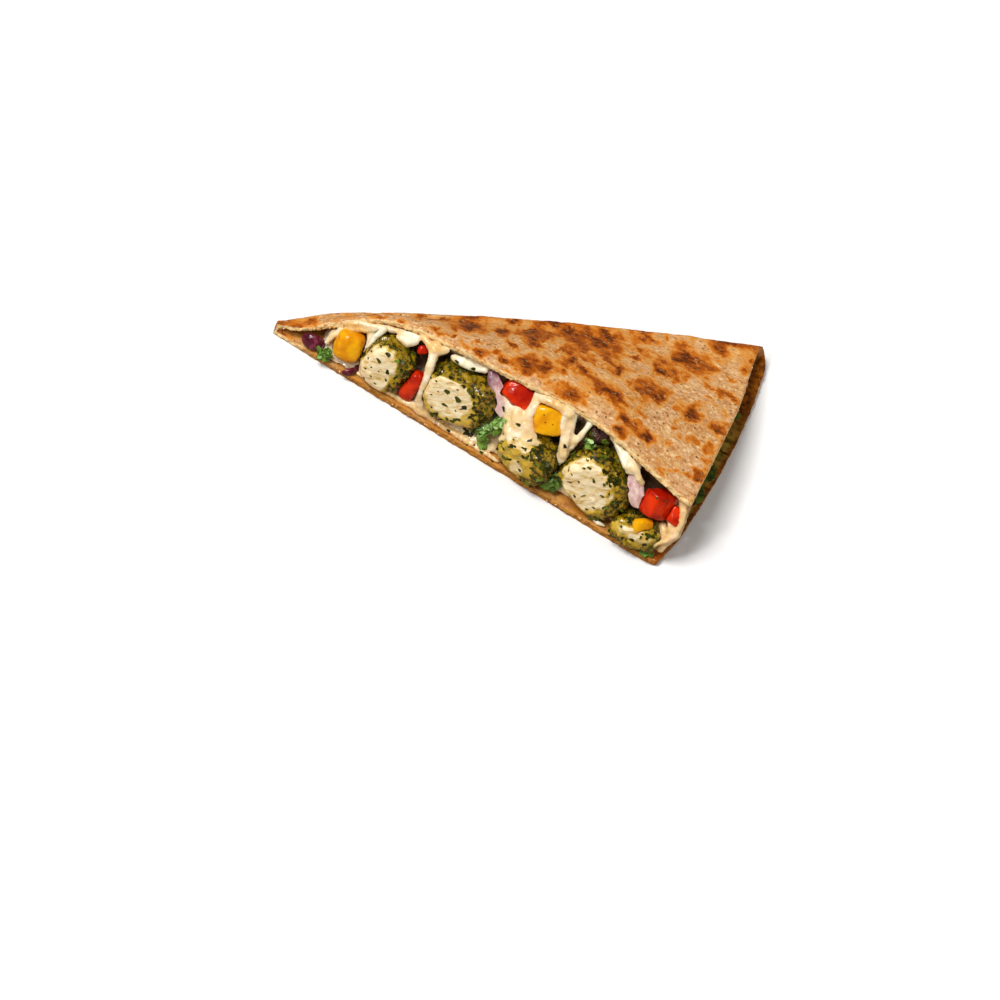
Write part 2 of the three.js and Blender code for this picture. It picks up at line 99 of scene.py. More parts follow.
# Wet surfaces mirror the dim corners of the studio, not its white walls.
ray = room.node_tree.nodes.new("ShaderNodeLightPath")
dimmed = room.node_tree.nodes.new("ShaderNodeMapRange")
dimmed.inputs["To Min"].default_value = ROOM_LIGHT
dimmed.inputs["To Max"].default_value = ROOM_MIRRORED
room.node_tree.links.new(ray.outputs["Is Glossy Ray"], dimmed.inputs["Value"])
room.node_tree.links.new(dimmed.outputs["Result"], walls.inputs["Strength"])

bpy.ops.object.light_add(type="SUN", location=LAMP_FROM)
lamp = bpy.context.object
lamp.name = "broad_lamp"
lamp.data.energy = LAMP_POWER
lamp.data.angle = LAMP_SPREAD
lamp.data.color = LAMP_WHITE
lamp.rotation_euler = Vector(LAMP_FROM).to_track_quat("Z", "Y").to_euler()

bpy.ops.object.light_add(type="AREA", location=GLINT_PLACE)
glint = bpy.context.object
glint.name = "glint_lamp"
glint.data.energy = GLINT_POWER
glint.data.size = GLINT_SIZE
glint.rotation_euler = Vector(GLINT_PLACE).to_track_quat("Z", "Y").to_euler()

distance = PHOTO_WIDTH * CAMERA_LENS / CAMERA_SENSOR
towards_camera = Vector((0, -math.cos(CAMERA_ELEVATION), math.sin(CAMERA_ELEVATION)))
bpy.ops.object.camera_add(location=AIM + towards_camera * distance)
camera = bpy.context.object
camera.name = "camera"
camera.data.lens = CAMERA_LENS
camera.data.clip_end = 50
facing = towards_camera.to_track_quat("Z", "Y").to_matrix()
camera.rotation_euler = (facing @ Matrix.Rotation(CAMERA_ROLL, 3, "Z")).to_euler()
bpy.context.scene.camera = camera
bpy.context.scene.view_settings.view_transform = "Standard"
bpy.context.scene.view_settings.look = "None"

# Tortilla
# One thin sheet of wholemeal dough, folded over the filling and toasted on a hot plate, so
# its outer faces are blistered and browned in spots. It is cut with a knife on two sides.

TORTILLA_VOXEL = 0.66 * MM
# Relief of the skin and of the cut edges: size and height.
BLISTERS = (4.2 * MM, 0.42 * MM)
DIMPLES = (1.5 * MM, 0.28 * MM)
EDGE_CRUMB = (1.5 * MM, 1.5 * MM)
EDGE_GRAIN = (0.8 * MM, 0.5 * MM)
FRECKLES = 270
UNDER_SPOTS = 170
HALO = 0.2
# A ray leaves the sheet this far out, and meets the other leaf within the fold's height.
RAY_START = 0.9 * MM
RAY_REACH = 34 * MM
# The fold runs from the tip to the back corner: how far along the cut, how deep and how long.
FOLD_ALONG, FOLD_DEEP, FOLD_LENGTH = 145.5, 98.4, 175.6

# Where the hot plate scorched the upper leaf: place along and up the view of the cut in
# millimetres, half length, half width, turn in degrees and how dark.
SCORCHES = [
    (122.7, 65.3, 6.2, 3.5, -4, 1), (129.4, 66.4, 2.8, 2.3, 0, 0.62), (129.9, 74.1, 3, 1.6, -18, 0.95),
    (140.3, 72, 1.3, 0.9, 0, 0.8), (140.8, 76, 0.9, 0.9, 0, 0.6), (131.8, 78.4, 4.6, 1.1, 12, 0.6),
    (132.7, 50.2, 3.4, 3, -10, 0.95), (142.8, 50.4, 3.6, 1.7, 0, 0.86), (118.7, 48.5, 4, 2.6, 5, 1),
    (116.4, 50.6, 6.2, 3.4, 8, 0.48), (113.5, 47.9, 1.5, 0.9, 0, 0.8), (109.6, 48.4, 1.3, 1, 0, 0.6),
    (104.4, 41.8, 5, 2.3, 5, 0.96), (97.2, 43.1, 3.4, 1.3, -10, 0.55), (117, 36.9, 5, 1.5, -14, 0.86),
    (124.4, 35.9, 3.3, 2.2, 0, 1), (115.2, 32.9, 3.1, 2.1, 0, 0.82), (95.8, 34.6, 4.1, 2.6, 6, 0.86),
    (83, 37.9, 3.8, 2.2, 20, 0.96), (79.6, 33.9, 3.6, 1.8, 15, 0.82), (83, 52.7, 2.6, 1.3, 22, 0.95),
    (94.6, 54.7, 3.8, 2.6, 25, 0.92), (96.9, 58.2, 3, 0.9, 14, 0.85), (88.2, 56.8, 3.2, 1.1, 18, 0.5),
    (90.2, 50.4, 3, 1.9, 10, 0.6), (100.2, 50.7, 4.2, 1.1, -8, 0.7), (104.7, 49.4, 1.3, 0.8, 0, 0.8),
    (85.8, 46.3, 3.6, 1.1, 25, 0.7), (89.9, 44.8, 2.2, 1.3, -8, 0.9), (106.3, 59.8, 1.9, 0.9, 0, 0.8),
    (107.4, 64, 3.3, 1, 14, 0.68), (116.3, 57.6, 4, 1.1, -5, 0.62), (117.2, 56, 1.7, 1.1, 0, 0.8),
    (122.4, 56.9, 1.1, 1.8, 0, 0.48), (141.2, 61.8, 2.9, 1.2, 0, 0.75), (134.1, 61.4, 1.1, 0.7, 0, 0.5),
    (127.7, 49.3, 1.6, 1.3, 0, 0.42), (143.6, 43.7, 2.3, 2, 0, 0.5), (144.9, 39.3, 1.7, 1.3, 0, 0.65),
    (145.2, 34.4, 1.9, 2, 0, 0.9), (141.9, 31.8, 1.7, 0.9, 0, 0.6), (133.6, 28.8, 2.1, 1.1, 0, 0.5),
    (144.2, 53.7, 1.6, 1.2, 0, 0.5), (112.6, 67.9, 1.2, 0.7, 0, 0.6), (104.4, 66.2, 1.7, 1, 20, 0.65),
    (91.6, 60.1, 2.8, 1, 25, 0.5), (112.4, 38.2, 1.8, 0.8, -10, 0.7), (88.8, 39.6, 2.2, 0.8, 0, 0.7),
    (55.3, 36.7, 5.6, 1.9, 21, 1), (46.4, 34.5, 1.9, 0.7, 26, 0.85), (39.4, 30.9, 2.1, 0.7, 24, 0.7),
    (45.8, 29.8, 1.6, 0.8, 15, 0.85), (51.9, 31.3, 1, 0.7, 0, 0.95), (62.5, 30.6, 2.2, 1.2, 0, 0.9),
    (70.8, 33.1, 1.5, 1.1, 0, 0.9), (66.7, 33.7, 2.1, 1.3, 0, 0.6), (76.4, 35.1, 4.5, 2.1, 6, 0.95),
    (70.3, 38, 2.1, 0.8, 0, 0.9), (65.3, 40.9, 2.4, 1.1, 26, 0.95), (72.5, 45.3, 3.6, 1.3, 26, 0.82),
    (76.7, 42.5, 3.2, 1, 10, 0.7), (79.2, 48.1, 3.6, 1.4, 26, 0.7), (73.3, 49.2, 1.7, 0.7, 20, 0.6),
    (75, 50.9, 1.6, 0.8, 20, 0.7), (78.9, 52.8, 3, 1.3, 26, 0.9), (66.1, 45.9, 1.9, 1, 20, 0.6),
    (53.9, 40, 2.8, 0.9, 30, 0.6), (56.7, 30.3, 1.9, 1.2, 0, 0.5), (34.7, 25.9, 1.3, 0.8, 20, 0.5),
    (28.3, 23.8, 2, 0.8, 30, 0.45), (79.3, 38.1, 2.5, 1.3, 0, 0.6), (18, 13.5, 2.4, 0.9, 38, 0.6),
    (6, 4.2, 4.5, 1.8, 38, 0.7), (0.5, 1.6, 3, 1.8, 30, 0.8), (12.5, 8.6, 3.6, 1.5, 38, 0.5),
]


def pick(piece):
    """Makes a piece the only one selected, for the operators that follow."""
    bpy.ops.object.select_all(action="DESELECT")
    bpy.context.view_layer.objects.active = piece
    piece.select_set(True)


def copy_of(node, name):
    """A new piece with the mesh of a CAD node, its loose triangles joined."""
    piece = bpy.data.objects.new(name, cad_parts[node].data.copy())
    bpy.context.scene.collection.objects.link(piece)
    pick(piece)
    piece.data.materials.clear()
    bpy.ops.object.mode_set(mode="EDIT")
    bpy.ops.mesh.select_all(action="SELECT")
    bpy.ops.mesh.remove_doubles(threshold=0.01 * MM)
    bpy.ops.object.mode_set(mode="OBJECT")
    return piece


def modify(piece, kind, **settings):
    """Adds one modifier to a piece, sets it and applies it."""
    modifier = piece.modifiers.new(kind.lower(), kind)
    for key, value in settings.items():
        setattr(modifier, key, value)
    pick(piece)
    bpy.ops.object.modifier_apply(modifier=modifier.name)


def remake(piece, voxel, factor, rounds):
    """Rebuilds a piece from small even faces and smooths it."""
    modify(piece, "REMESH", mode="VOXEL", voxel_size=voxel, adaptivity=0)
    modify(piece, "SMOOTH", factor=factor, iterations=rounds)


def roughen(piece, size, height, group="", middle=0.5):
    """Raises and lowers a piece's surface by clouds of a given size and height."""
    texture = bpy.data.textures.new(f"{piece.name}_relief", "CLOUDS")
    texture.noise_scale = size
    modify(piece, "DISPLACE", texture=texture, texture_coords="LOCAL", strength=height,
           mid_level=middle, vertex_group=group)


def points_of(piece):
    """A piece's vertices and their outward directions, in the row frame."""
    count = len(piece.data.vertices)
    places, outward = np.zeros(count * 3, np.float32), np.zeros(count * 3, np.float32)
    piece.data.vertices.foreach_get("co", places)
    piece.data.vertex_normals.foreach_get("vector", outward)
    return places.reshape(-1, 3), outward.reshape(-1, 3)


def in_view(places):
    """How far along the cut and how far up the view of it each point lies, in millimetres."""
    local = (places - np.array(CUT_START)) / MM
    up = math.cos(CAMERA_ELEVATION) * local[:, 2] + math.sin(CAMERA_ELEVATION) * local[:, 1]
    return local[:, 0], up


def smooth(value, low, high):
    """0 below low, 1 above high, and a smooth change between."""
    t = np.clip((value - low) / (high - low), 0, 1)
    return t * t * (3 - 2 * t)


def paint(piece, name, values):
    """Keeps one number for each vertex, for the finish to read."""
    layer = piece.data.attributes.new(name, "FLOAT", "POINT")
    layer.data.foreach_set("value", np.asarray(values, np.float32))


def group(piece, name, values):
    """Keeps one weight for each vertex, for a modifier to read."""
    made = piece.vertex_groups.new(name=name)
    levels = np.round(np.clip(values, 0, 1) * 20).astype(int)
    for level in range(1, 21):
        made.add(np.nonzero(levels == level)[0].tolist(), level / 20, "REPLACE")


class Socket:
    """An output of a finish's node. Sums and products of sockets add the Math nodes they need."""

    def __init__(self, finish, output):
        self.finish = finish
        self.output = output

    def maths(self, operation, first, second):
        return self.finish.node("ShaderNodeMath", {"operation": operation}, {0: first, 1: second})

    def __add__(self, other):
        return self.maths("ADD", self, other)

    def __sub__(self, other):
        return self.maths("SUBTRACT", self, other)

    def __mul__(self, other):
        return self.maths("MULTIPLY", self, other)

    def __rsub__(self, other):
        return self.maths("SUBTRACT", other, self)

    __radd__ = __add__
    __rmul__ = __mul__


class Finish:
    """A finish made of nodes round one Principled shader.

    The coat has a weight and a roughness. Light that enters spreads by a weight, glow, and
    reaches so many millimetres in red, green and blue.
    """

    def __init__(self, name, rough, mirror, coat=(0, 0.03), glow=0, reach=(1, 1, 1)):
        self.material = bpy.data.materials.new(name)
        self.material.use_nodes = True
        self.nodes = self.material.node_tree.nodes
        self.links = self.material.node_tree.links
        self.shader = self.nodes["Principled BSDF"]
        looks = {"Roughness": rough, "Specular IOR Level": mirror, "Coat Weight": coat[0],
                 "Coat Roughness": coat[1], "Subsurface Weight": glow, "Subsurface Scale": MM,
                 "Subsurface Radius": reach}
        for socket, value in looks.items():
            self.shader.inputs[socket].default_value = value
        place = self.node("ShaderNodeTexCoord", {}, {}, "Object")
        inputs = {0: place, "Scale": 1 / MM}
        self.place = self.node("ShaderNodeVectorMath", {"operation": "SCALE"}, inputs)

    def node(self, kind, settings, inputs, output=0):
        made = self.nodes.new(kind)
        for key, value in settings.items():
            if key == "stops":
                for stop in range(len(value) - 2):
                    made.color_ramp.elements.new(0.5)
                for stop, (at, colour) in zip(made.color_ramp.elements, value):
                    stop.position = at
                    stop.color = (*colour, 1)
            else:
                setattr(made, key, value)
        for socket, value in inputs.items():
            if isinstance(value, Socket):
                self.links.new(value.output, made.inputs[socket])
            elif isinstance(value, tuple) and len(value) == 3 and made.inputs[socket].type == "RGBA":
                made.inputs[socket].default_value = (*value, 1)
            else:
                made.inputs[socket].default_value = value
        return Socket(self, made.outputs[output])

    def attribute(self, name):
        return self.node("ShaderNodeAttribute", {"attribute_name": name}, {}, "Fac")

    def noise(self, size, detail=3, rough=0.5, bend=0.0, stretch=None, turn=0.0):
        """Soft noise from 0 to 1 with features of a size in millimetres."""
        place = self.place
        if turn:
            inputs = {"Vector": place, "Angle": turn}
            place = self.node("ShaderNodeVectorRotate", {"rotation_type": "Y_AXIS"}, inputs)
        if stretch:
            place = self.node("ShaderNodeVectorMath", {"operation": "MULTIPLY"}, {0: place, 1: stretch})
        inputs = {"Vector": place, "Scale": 1 / size, "Detail": detail, "Roughness": rough,
                  "Distortion": bend}
        return self.node("ShaderNodeTexNoise", {}, inputs)

    def cells(self, size, output="Distance"):
        """Distance from the middle of scattered cells, or each cell's own colour."""
        return self.node("ShaderNodeTexVoronoi", {}, {"Vector": self.place, "Scale": 1 / size}, output)

    def step(self, value, low, high):
        inputs = {"Value": value, "From Min": low, "From Max": high}
        return self.node("ShaderNodeMapRange", {"interpolation_type": "SMOOTHSTEP"}, inputs)

    def mix(self, share, first, second):
        """A colour between two colours, which a Mix node has in its inputs 6 and 7."""
        return self.node("ShaderNodeMix", {"data_type": "RGBA"}, {0: share, 6: first, 7: second}, 2)

    def blend(self, value, low, high, first, second, share=None):
        """The first colour below low, and above high the second, or a share of it."""
        step = self.step(value, low, high)
        return self.mix(step * share if share else step, first, second)

    def ramp(self, value, stops):
        return self.node("ShaderNodeValToRGB", {"stops": stops}, {"Fac": value})

    def bump(self, height, depth, strength):
        inputs = {"Height": height, "Distance": depth, "Strength": strength}
        self.set("Normal", self.node("ShaderNodeBump", {}, inputs))

    def set(self, socket, value):
        self.links.new(value.output, self.shader.inputs[socket])


tortilla = copy_of("tortilla", "toasted_tortilla")
remake(tortilla, TORTILLA_VOXEL, 0.5, 3)

# The inner faces look at each other across the fold, and the knife cuts face -Y and +X.
places, outward = points_of(tortilla)
sheet_tree = BVHTree.FromObject(tortilla, bpy.context.evaluated_depsgraph_get())
inside = np.zeros(len(places))
for i, (place, way) in enumerate(zip(places, outward)):
    start = Vector(place) + Vector(way) * RAY_START
    inside[i] = sheet_tree.ray_cast(start, Vector(way), RAY_REACH)[0] is not None
along, up = in_view(places)
front_cut = smooth(-outward[:, 1], 0.45, 0.8) * (1 - smooth(outward[:, 1], 0, 0.2))
side_cut = smooth(outward[:, 0], 0.55, 0.85) * smooth(along, 120, 138)
cut_edge = np.clip(front_cut + side_cut, 0, 1) * (1 - inside)
upper = (outward[:, 2] > -0.15) & (inside < 0.5)


def wobble(along, up, size, seed):
    """A smooth random shift for each point, mostly within 1, with features of a given size."""
    draw = np.random.default_rng(seed)
    total = np.zeros(len(along))
    for _ in range(8):
        way, phase = draw.uniform(0, 6.28), draw.uniform(0, 6.28)
        pitch = 6.28 * draw.uniform(0.6, 1.5) / size
        total += np.sin((along * math.cos(way) + up * math.sin(way)) * pitch + phase)
    return total / 2.8


def turned(along, up, x, y, turn):
    """How far each point lies along and across a spot that is turned by some degrees."""
    c, s = math.cos(math.radians(turn)), math.sin(math.radians(turn))
    return (along - x) * c + (up - y) * s, (up - y) * c - (along - x) * s


def scorched(along, up, spots):
    """How toasted each point is, from the spots round it and the golden halo of each."""
    pale = np.ones(len(along))
    for x, y, length, width, turn, dark in spots:
        near = (np.abs(along - x) < 2.6 * length) & (np.abs(up - y) < 2.6 * length)
        across, over = turned(along[near], up[near], x, y, turn)
        far = np.sqrt((across / length) ** 2 + (over / width) ** 2)
        pale[near] *= 1 - dark * (1 - smooth(far, 0.25, 1.3))
        pale[near] *= 1 - HALO * dark * (1 - smooth(far, 0.9, 2.2))
    return 1 - pale


draw = np.random.default_rng(11)
freckles = []
while len(freckles) < FRECKLES:
    x, y = draw.uniform(8, 149), draw.uniform(10, 84)
    busy = 0.26 + 0.74 * math.exp(-(((x - 88) / 36) ** 2) - ((y - 50) / 13) ** 2)
    if y < 0.62 * x + 6 and draw.uniform() < busy:
        length = draw.uniform(0.8, 2.6)
        turn = draw.normal(18 if x < 96 else 2, 10)
        freckles.append((x, y, length, length * draw.uniform(0.3, 0.6), turn, draw.uniform(0.2, 0.58)))
under = [
    (draw.uniform(0, 150), draw.uniform(0, 96), draw.uniform(1, 5), draw.uniform(0.8, 3.2),
     draw.uniform(-30, 30), draw.uniform(0.4, 1)) for _ in range(UNDER_SPOTS)
]
local_y = (places[:, 1] - CUT_START.y) / MM
height = places[:, 2] / MM
shifted = [axis + 0.55 * wobble(along, up, 6, seed) + 0.34 * wobble(along, up, 2.2, seed + 9)
           for axis, seed in ((along, 1), (up, 2))]

# The leaf that the photograph shows has its spots, and the rest has others like them.
shown = smooth(outward @ np.array(towards_camera), 0.03, 0.15) * upper
toast = shown * scorched(*shifted, SCORCHES + freckles)
toast += (1 - shown) * scorched(along, local_y + 1.2 * height, under)

# It is browner along the fold, at the side, in the middle, at the top corner and at the tip.
from_fold = (along * FOLD_DEEP - local_y * FOLD_ALONG) / FOLD_LENGTH
patchy = 0.6 + 0.5 * wobble(along, up, 9, 5)
toast += upper * 0.2 * (1 - smooth(from_fold, 0, 5)) * patchy
toast += upper * 0.14 * smooth(along, 140, 148) * patchy
streaky = np.clip(0.6 + 0.7 * wobble(along * 0.6, up * 1.5, 6, 15), 0, 1.4)
middle = smooth(along, 48, 74) * (1 - smooth(along, 98, 122)) * smooth(up, 33, 43)
toast += upper * 0.14 * middle * streaky
toast += upper * 0.1 * smooth(up, 56, 78) * streaky
toast += upper * 0.36 * smooth(up, 68, 78) * np.clip(patchy, 0.3, 1)
toast += upper * 0.14 * (1 - smooth(along, 48, 64)) * streaky
warm = upper * np.clip(middle * (0.6 + 0.4 * wobble(along, up, 11, 31)) + 0.7 * smooth(up, 66, 78), 0, 1)
fold_end = smooth(local_y, 84, 94) * smooth(along, 137, 144)
toast += 0.42 * fold_end
toast += upper * 0.4 * (1 - smooth(along, 1, 13)) * patchy

# The lower leaf stands out past the upper one, greasy at the front, and toasted at the side with painted
# shade over the toast.
ledge = (1 - smooth(height, 4.4, 5.4)) * smooth(along, 9, 16)
ledge *= smooth(outward[:, 2] - outward[:, 1], 0.1, 0.5)
side_ledge = ledge * smooth(along, 138, 143) * smooth(local_y, 4, 14)
corner = ledge * smooth(along, 143, 148) * (1 - smooth(local_y, 4, 9))
toast = np.where(ledge > 0.5, 0.15 + 0.2 * patchy, toast)
toast += 0.3 * side_ledge + 0.4 * corner
paint(tortilla, "toast", np.clip(toast, 0, 1) * (1 - inside * (1 - ledge)))
paint(tortilla, "inside", np.clip(inside + 0.75 * ledge * (1 - corner), 0, 1))
paint(tortilla, "side", side_ledge)
paint(tortilla, "warm", warm)
paint(tortilla, "oily", (1 - smooth(up, 46, 62)) * smooth(up, 16, 24) * (1 - smooth(along, 148.6, 150.4)))
paint(tortilla, "cut_edge", cut_edge * (1 - 0.6 * ledge) * (1 - fold_end))
# Painted shade: the lower leaf's cut edge, which lies in shadow, is painted darker than the crumb above it.
paint(tortilla, "low_edge", cut_edge * (1 - smooth(height, 2.6, 4.2)) * smooth(along, 8, 30))
group(tortilla, "skin", (1 - inside) * (1 - cut_edge) * smooth(outward[:, 2], -0.8, -0.2))
group(tortilla, "cut", cut_edge * (1 - 0.7 * side_cut))
roughen(tortilla, *BLISTERS, group="skin")
roughen(tortilla, *DIMPLES, group="skin")
roughen(tortilla, *EDGE_CRUMB, group="cut", middle=0.62)
roughen(tortilla, *EDGE_GRAIN, group="cut")

# It lies flat on the table.
places, outward = points_of(tortilla)
places[:, 2] = np.maximum(places[:, 2], 0)
tortilla.data.vertices.foreach_set("co", places.ravel())

dough = Finish("toasted_wholemeal", 0.5, 0.07)
patches = dough.noise(9, 3, 0.55)
mottle = dough.noise(2.4, 4, 0.62, 0.5, (0.7, 1, 1))
fine = dough.noise(1.15, 5, 0.7, 0.3, (0.7, 1, 1))
grain = dough.noise(0.42, 3, 0.6)
base = dough.blend(mottle, 0.4, 0.6, (0.57, 0.255, 0.08), (0.75, 0.44, 0.185))
base = dough.blend(patches, 0.42, 0.66, base, (0.69, 0.395, 0.21), 0.6)
base = dough.blend(fine, 0.53, 0.62, base, (0.93, 0.71, 0.45), 0.9)
flecks = dough.noise(1.7, 3, 0.6, 0.4, (0.6, 1, 1))
base = dough.blend(flecks, 0.6, 0.68, base, (0.66, 0.27, 0.06), 0.6)
base = dough.blend(0.46 - fine, 0.0, 0.08, base, (0.40, 0.145, 0.035), 0.8)
base = dough.blend(grain, 0.6, 0.7, base, (0.95, 0.78, 0.54), 0.35)
base = dough.mix(dough.attribute("warm") * 0.5, base, (0.67, 0.31, 0.06))
bran_pick = dough.node("ShaderNodeSeparateColor", {}, {0: dough.cells(1.9, "Color")})
bran = dough.step(0.34 - dough.cells(1.9) - 0.2 * grain, 0.0, 0.07)
bran = bran * dough.step(bran_pick, 0.6, 0.62)
base = dough.mix(bran * 0.9, base, (0.12, 0.04, 0.012))
toasting = dough.attribute("toast")
browned = toasting * (0.86 + 0.34 * dough.step(mottle, 0.4, 0.6)) + (mottle - 0.5) * 0.3
browned = browned + (fine - 0.5) * 0.42
gold = dough.blend(browned, 0.1, 0.32, base, (0.74, 0.31, 0.05), 0.85)
gold = dough.blend(browned, 0.26, 0.46, gold, (0.58, 0.155, 0.008), 0.95)
gold = dough.blend(browned, 0.46, 0.78, gold, (0.34, 0.072, 0.004))
gold = dough.blend(browned, 0.82, 1.08, gold, (0.12, 0.024, 0.003))
gold = dough.blend(fine, 0.56, 0.65, gold, (0.86, 0.52, 0.20), 0.45)
crumb = dough.blend(fine, 0.38, 0.58, (0.96, 0.55, 0.19), (1.0, 0.82, 0.45))
crumb = dough.blend(0.4 - fine, 0.0, 0.05, crumb, (0.42, 0.15, 0.02), 0.5)
# Darker crumb on the lower cut edge, as painted shade.
shaded_low_crumb = dough.blend(fine, 0.42, 0.58, (0.30, 0.085, 0.008), (0.70, 0.34, 0.075))
crumb = dough.mix(dough.attribute("low_edge"), crumb, shaded_low_crumb)
skin = dough.mix(dough.attribute("cut_edge"), gold, crumb)
greasy = dough.blend(mottle, 0.3, 0.7, (0.34, 0.11, 0.008), (0.62, 0.31, 0.055))
skin = dough.mix(dough.attribute("inside") * 0.8, skin, greasy)
# The side strip: toasted brown with painted shade, darker than the toast alone.
stained = dough.blend(mottle, 0.35, 0.65, (0.11, 0.022, 0.001), (0.42, 0.13, 0.006))
oily_patches = dough.step(patches + (mottle - 0.5) * 0.6, 0.4, 0.56)
oily = dough.mix(oily_patches, (0.13, 0.11, 0.004), (0.50, 0.32, 0.05))
stained = dough.mix(dough.attribute("oily") * dough.step(mottle, 0.3, 0.5), stained, oily)
skin = dough.mix(dough.attribute("side"), skin, stained)
dough.set("Base Color", skin)
dull = 0.72 - dough.attribute("inside") * 0.35
dough.set("Roughness", dull - dough.step(browned, 0.3, 0.8) * 0.14)
relief = mottle * 0.5 + fine * 1.0 + grain * 0.35
dough.bump(relief - dough.step(browned, 0.4, 0.9) * 0.2, 0.6 * MM, 0.85)
tortilla.data.materials.append(dough.material)
bpy.ops.object.shade_smooth()
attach(tortilla, "root")
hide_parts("tortilla")

# Melted cheese
# White cheese that melted round the filling and sticks it to the tortilla. It pulled into
# strands and drips when the wedge was cut, and set again with a shiny skin.

CHEESE_VOXEL = 0.42 * MM
# The share of its small faces that the cheese keeps.
CHEESE_KEPT = 0.59
# Drips and films over the filling: points in millimetres from the start of the cut, each
# with its radius, in runs that join up.
DRIPS = [
    [(37, 9.6, 22, 1.2), (40.2, 9.4, 22.2, 1.9), (43, 10.6, 23, 1.1)],
    [(19, 8.4, 14.6, 0.9), (22, 9, 16.6, 1.1), (26, 10, 18.1, 1.2), (30, 11, 19.4, 1.2),
     (34, 11.8, 20.8, 1.2), (38, 12.4, 22.3, 1.2)],
    [(44, 12.6, 25.4, 1.1), (46.6, 11.4, 25, 1.5), (49.4, 10.4, 24.6, 2), (52.6, 12.4, 26, 1.4)],
    [(56, 12.4, 24.6, 1.3), (59.5, 12, 25.2, 1.7), (63, 12.4, 25.4, 1.3), (67, 13.5, 25.8, 1)],
    [(19.8, 7.4, 12.6, 0.7), (22.6, 8.2, 14.6, 1.2), (26, 9.4, 16.4, 1.4), (29.6, 10.6, 18.4, 1)],
    [(32, 11.4, 20, 0.7), (35, 11.6, 21.4, 1), (39, 12, 22.9, 1.2), (43, 12.4, 24, 1.1)],
    [(123.8, 12.6, 27.6, 0.8), (126, 11, 26.2, 1.5), (128.4, 10.2, 24.6, 1.4), (130.6, 10.4, 22.4, 0.9)],
    [(120.6, 13.4, 28, 1), (122.6, 12.4, 27.4, 1.3), (124.6, 11.6, 26.6, 1.3)],
    [(86.5, 15, 28, 1.4), (86.8, 12, 24, 1.5), (86, 9.4, 19.5, 1.7), (84.6, 5.6, 15.6, 1.8),
     (83.6, 3.6, 12.2, 1.5)],
    [(85.5, 4.6, 16.6, 1.5), (88.5, 4, 17.4, 1.8), (91.6, 4.2, 17.6, 1.9), (94.6, 5, 17.4, 1.6)],
    [(99.4, 15.2, 29, 1.3), (100.8, 12.2, 26, 1.6), (102.6, 10.2, 22.6, 1.6), (104, 9.2, 19.4, 1.2)],
    [(105.6, 15.2, 29.2, 1.3), (105.3, 12.6, 27, 1.1), (104.7, 10.6, 23.8, 1.3), (104.4, 9.4, 20.6, 1.1)],
    [(78, 12, 21.6, 1.9), (81, 9.6, 18.8, 2), (83.2, 7.2, 15.8, 1.8), (84.4, 4.4, 11.8, 1.3)],
    [(17.6, 4, 7, 1), (18.2, 5.4, 9.6, 1.2), (19.6, 7.4, 12, 1.2)],
    [(31.5, 9.2, 21.6, 1.3), (30.4, 6.8, 18.2, 1.1), (29.8, 4.6, 15, 0.7)],
    [(149.4, 7, 14, 1.6), (147, 4, 10.8, 1.2), (144.6, 2, 8.4, 0.8)],
    [(83, 9.4, 21.6, 2.2), (85.6, 6.8, 19.4, 2.3), (88.8, 5.2, 18.2, 1.9), (92.4, 4.4, 17.4, 1.4)],
    [(82, 8.6, 18.4, 2), (83.8, 5, 16, 1.8), (86.4, 2.8, 15.2, 1.5), (89.4, 2, 15, 1.2)],
    [(122.8, 1.8, 3.5, 0.6), (125, 1.5, 3.5, 0.9), (127.2, 1.8, 3.5, 0.6)],
    [(88, 13.8, 29, 1.6), (90.6, 13.6, 29.9, 1.7), (94.4, 13.4, 30.3, 1.6), (98, 13.6, 29.8, 1.9)],
    [(87.2, 11.2, 26.4, 1.4), (87.4, 9, 23, 1.5), (89.4, 7, 20.2, 1.5), (92, 6.6, 18.8, 1.3)],
    [(97.8, 12.4, 28, 1.5), (98.8, 10.6, 25.6, 1.3), (100, 9.4, 23.6, 1)],
    [(50.4, 3, 3.4, 1.2), (53.4, 2.2, 4.2, 1.5), (56.6, 2, 4, 1.5), (60, 2.8, 3.4, 1.2)],
    [(27, 3, 3.4, 0.7), (33, 2.4, 3.4, 0.8), (40, 1.8, 3.4, 0.9), (47, 2.2, 3.4, 1.1),
     (51, 2.4, 3.4, 1.2)],
    [(58, 2.4, 3.4, 1.2), (65, 1.8, 3.4, 1), (72, 2.2, 3.4, 1.3), (80, 1.8, 3.4, 1.1),
     (86, 1.6, 3.3, 0.9)],
    [(60, 5, 4, 1.6), (70, 5, 4, 1.8), (76, 4.4, 4, 1.8), (82, 4.6, 4, 1.6)],
    [(143.6, 8.4, 11.4, 1.5), (145.4, 6.6, 11, 1.6), (146.8, 5.2, 8.6, 1.5), (146.6, 4.4, 5.8, 1.3)],
    [(145.4, 7.8, 15.2, 1.1), (146.8, 6.8, 13.4, 1.6), (147.8, 5.8, 10.8, 1.8), (147.9, 4.8, 7.8, 1.7),
     (147.4, 4, 5.4, 1.2)],
]
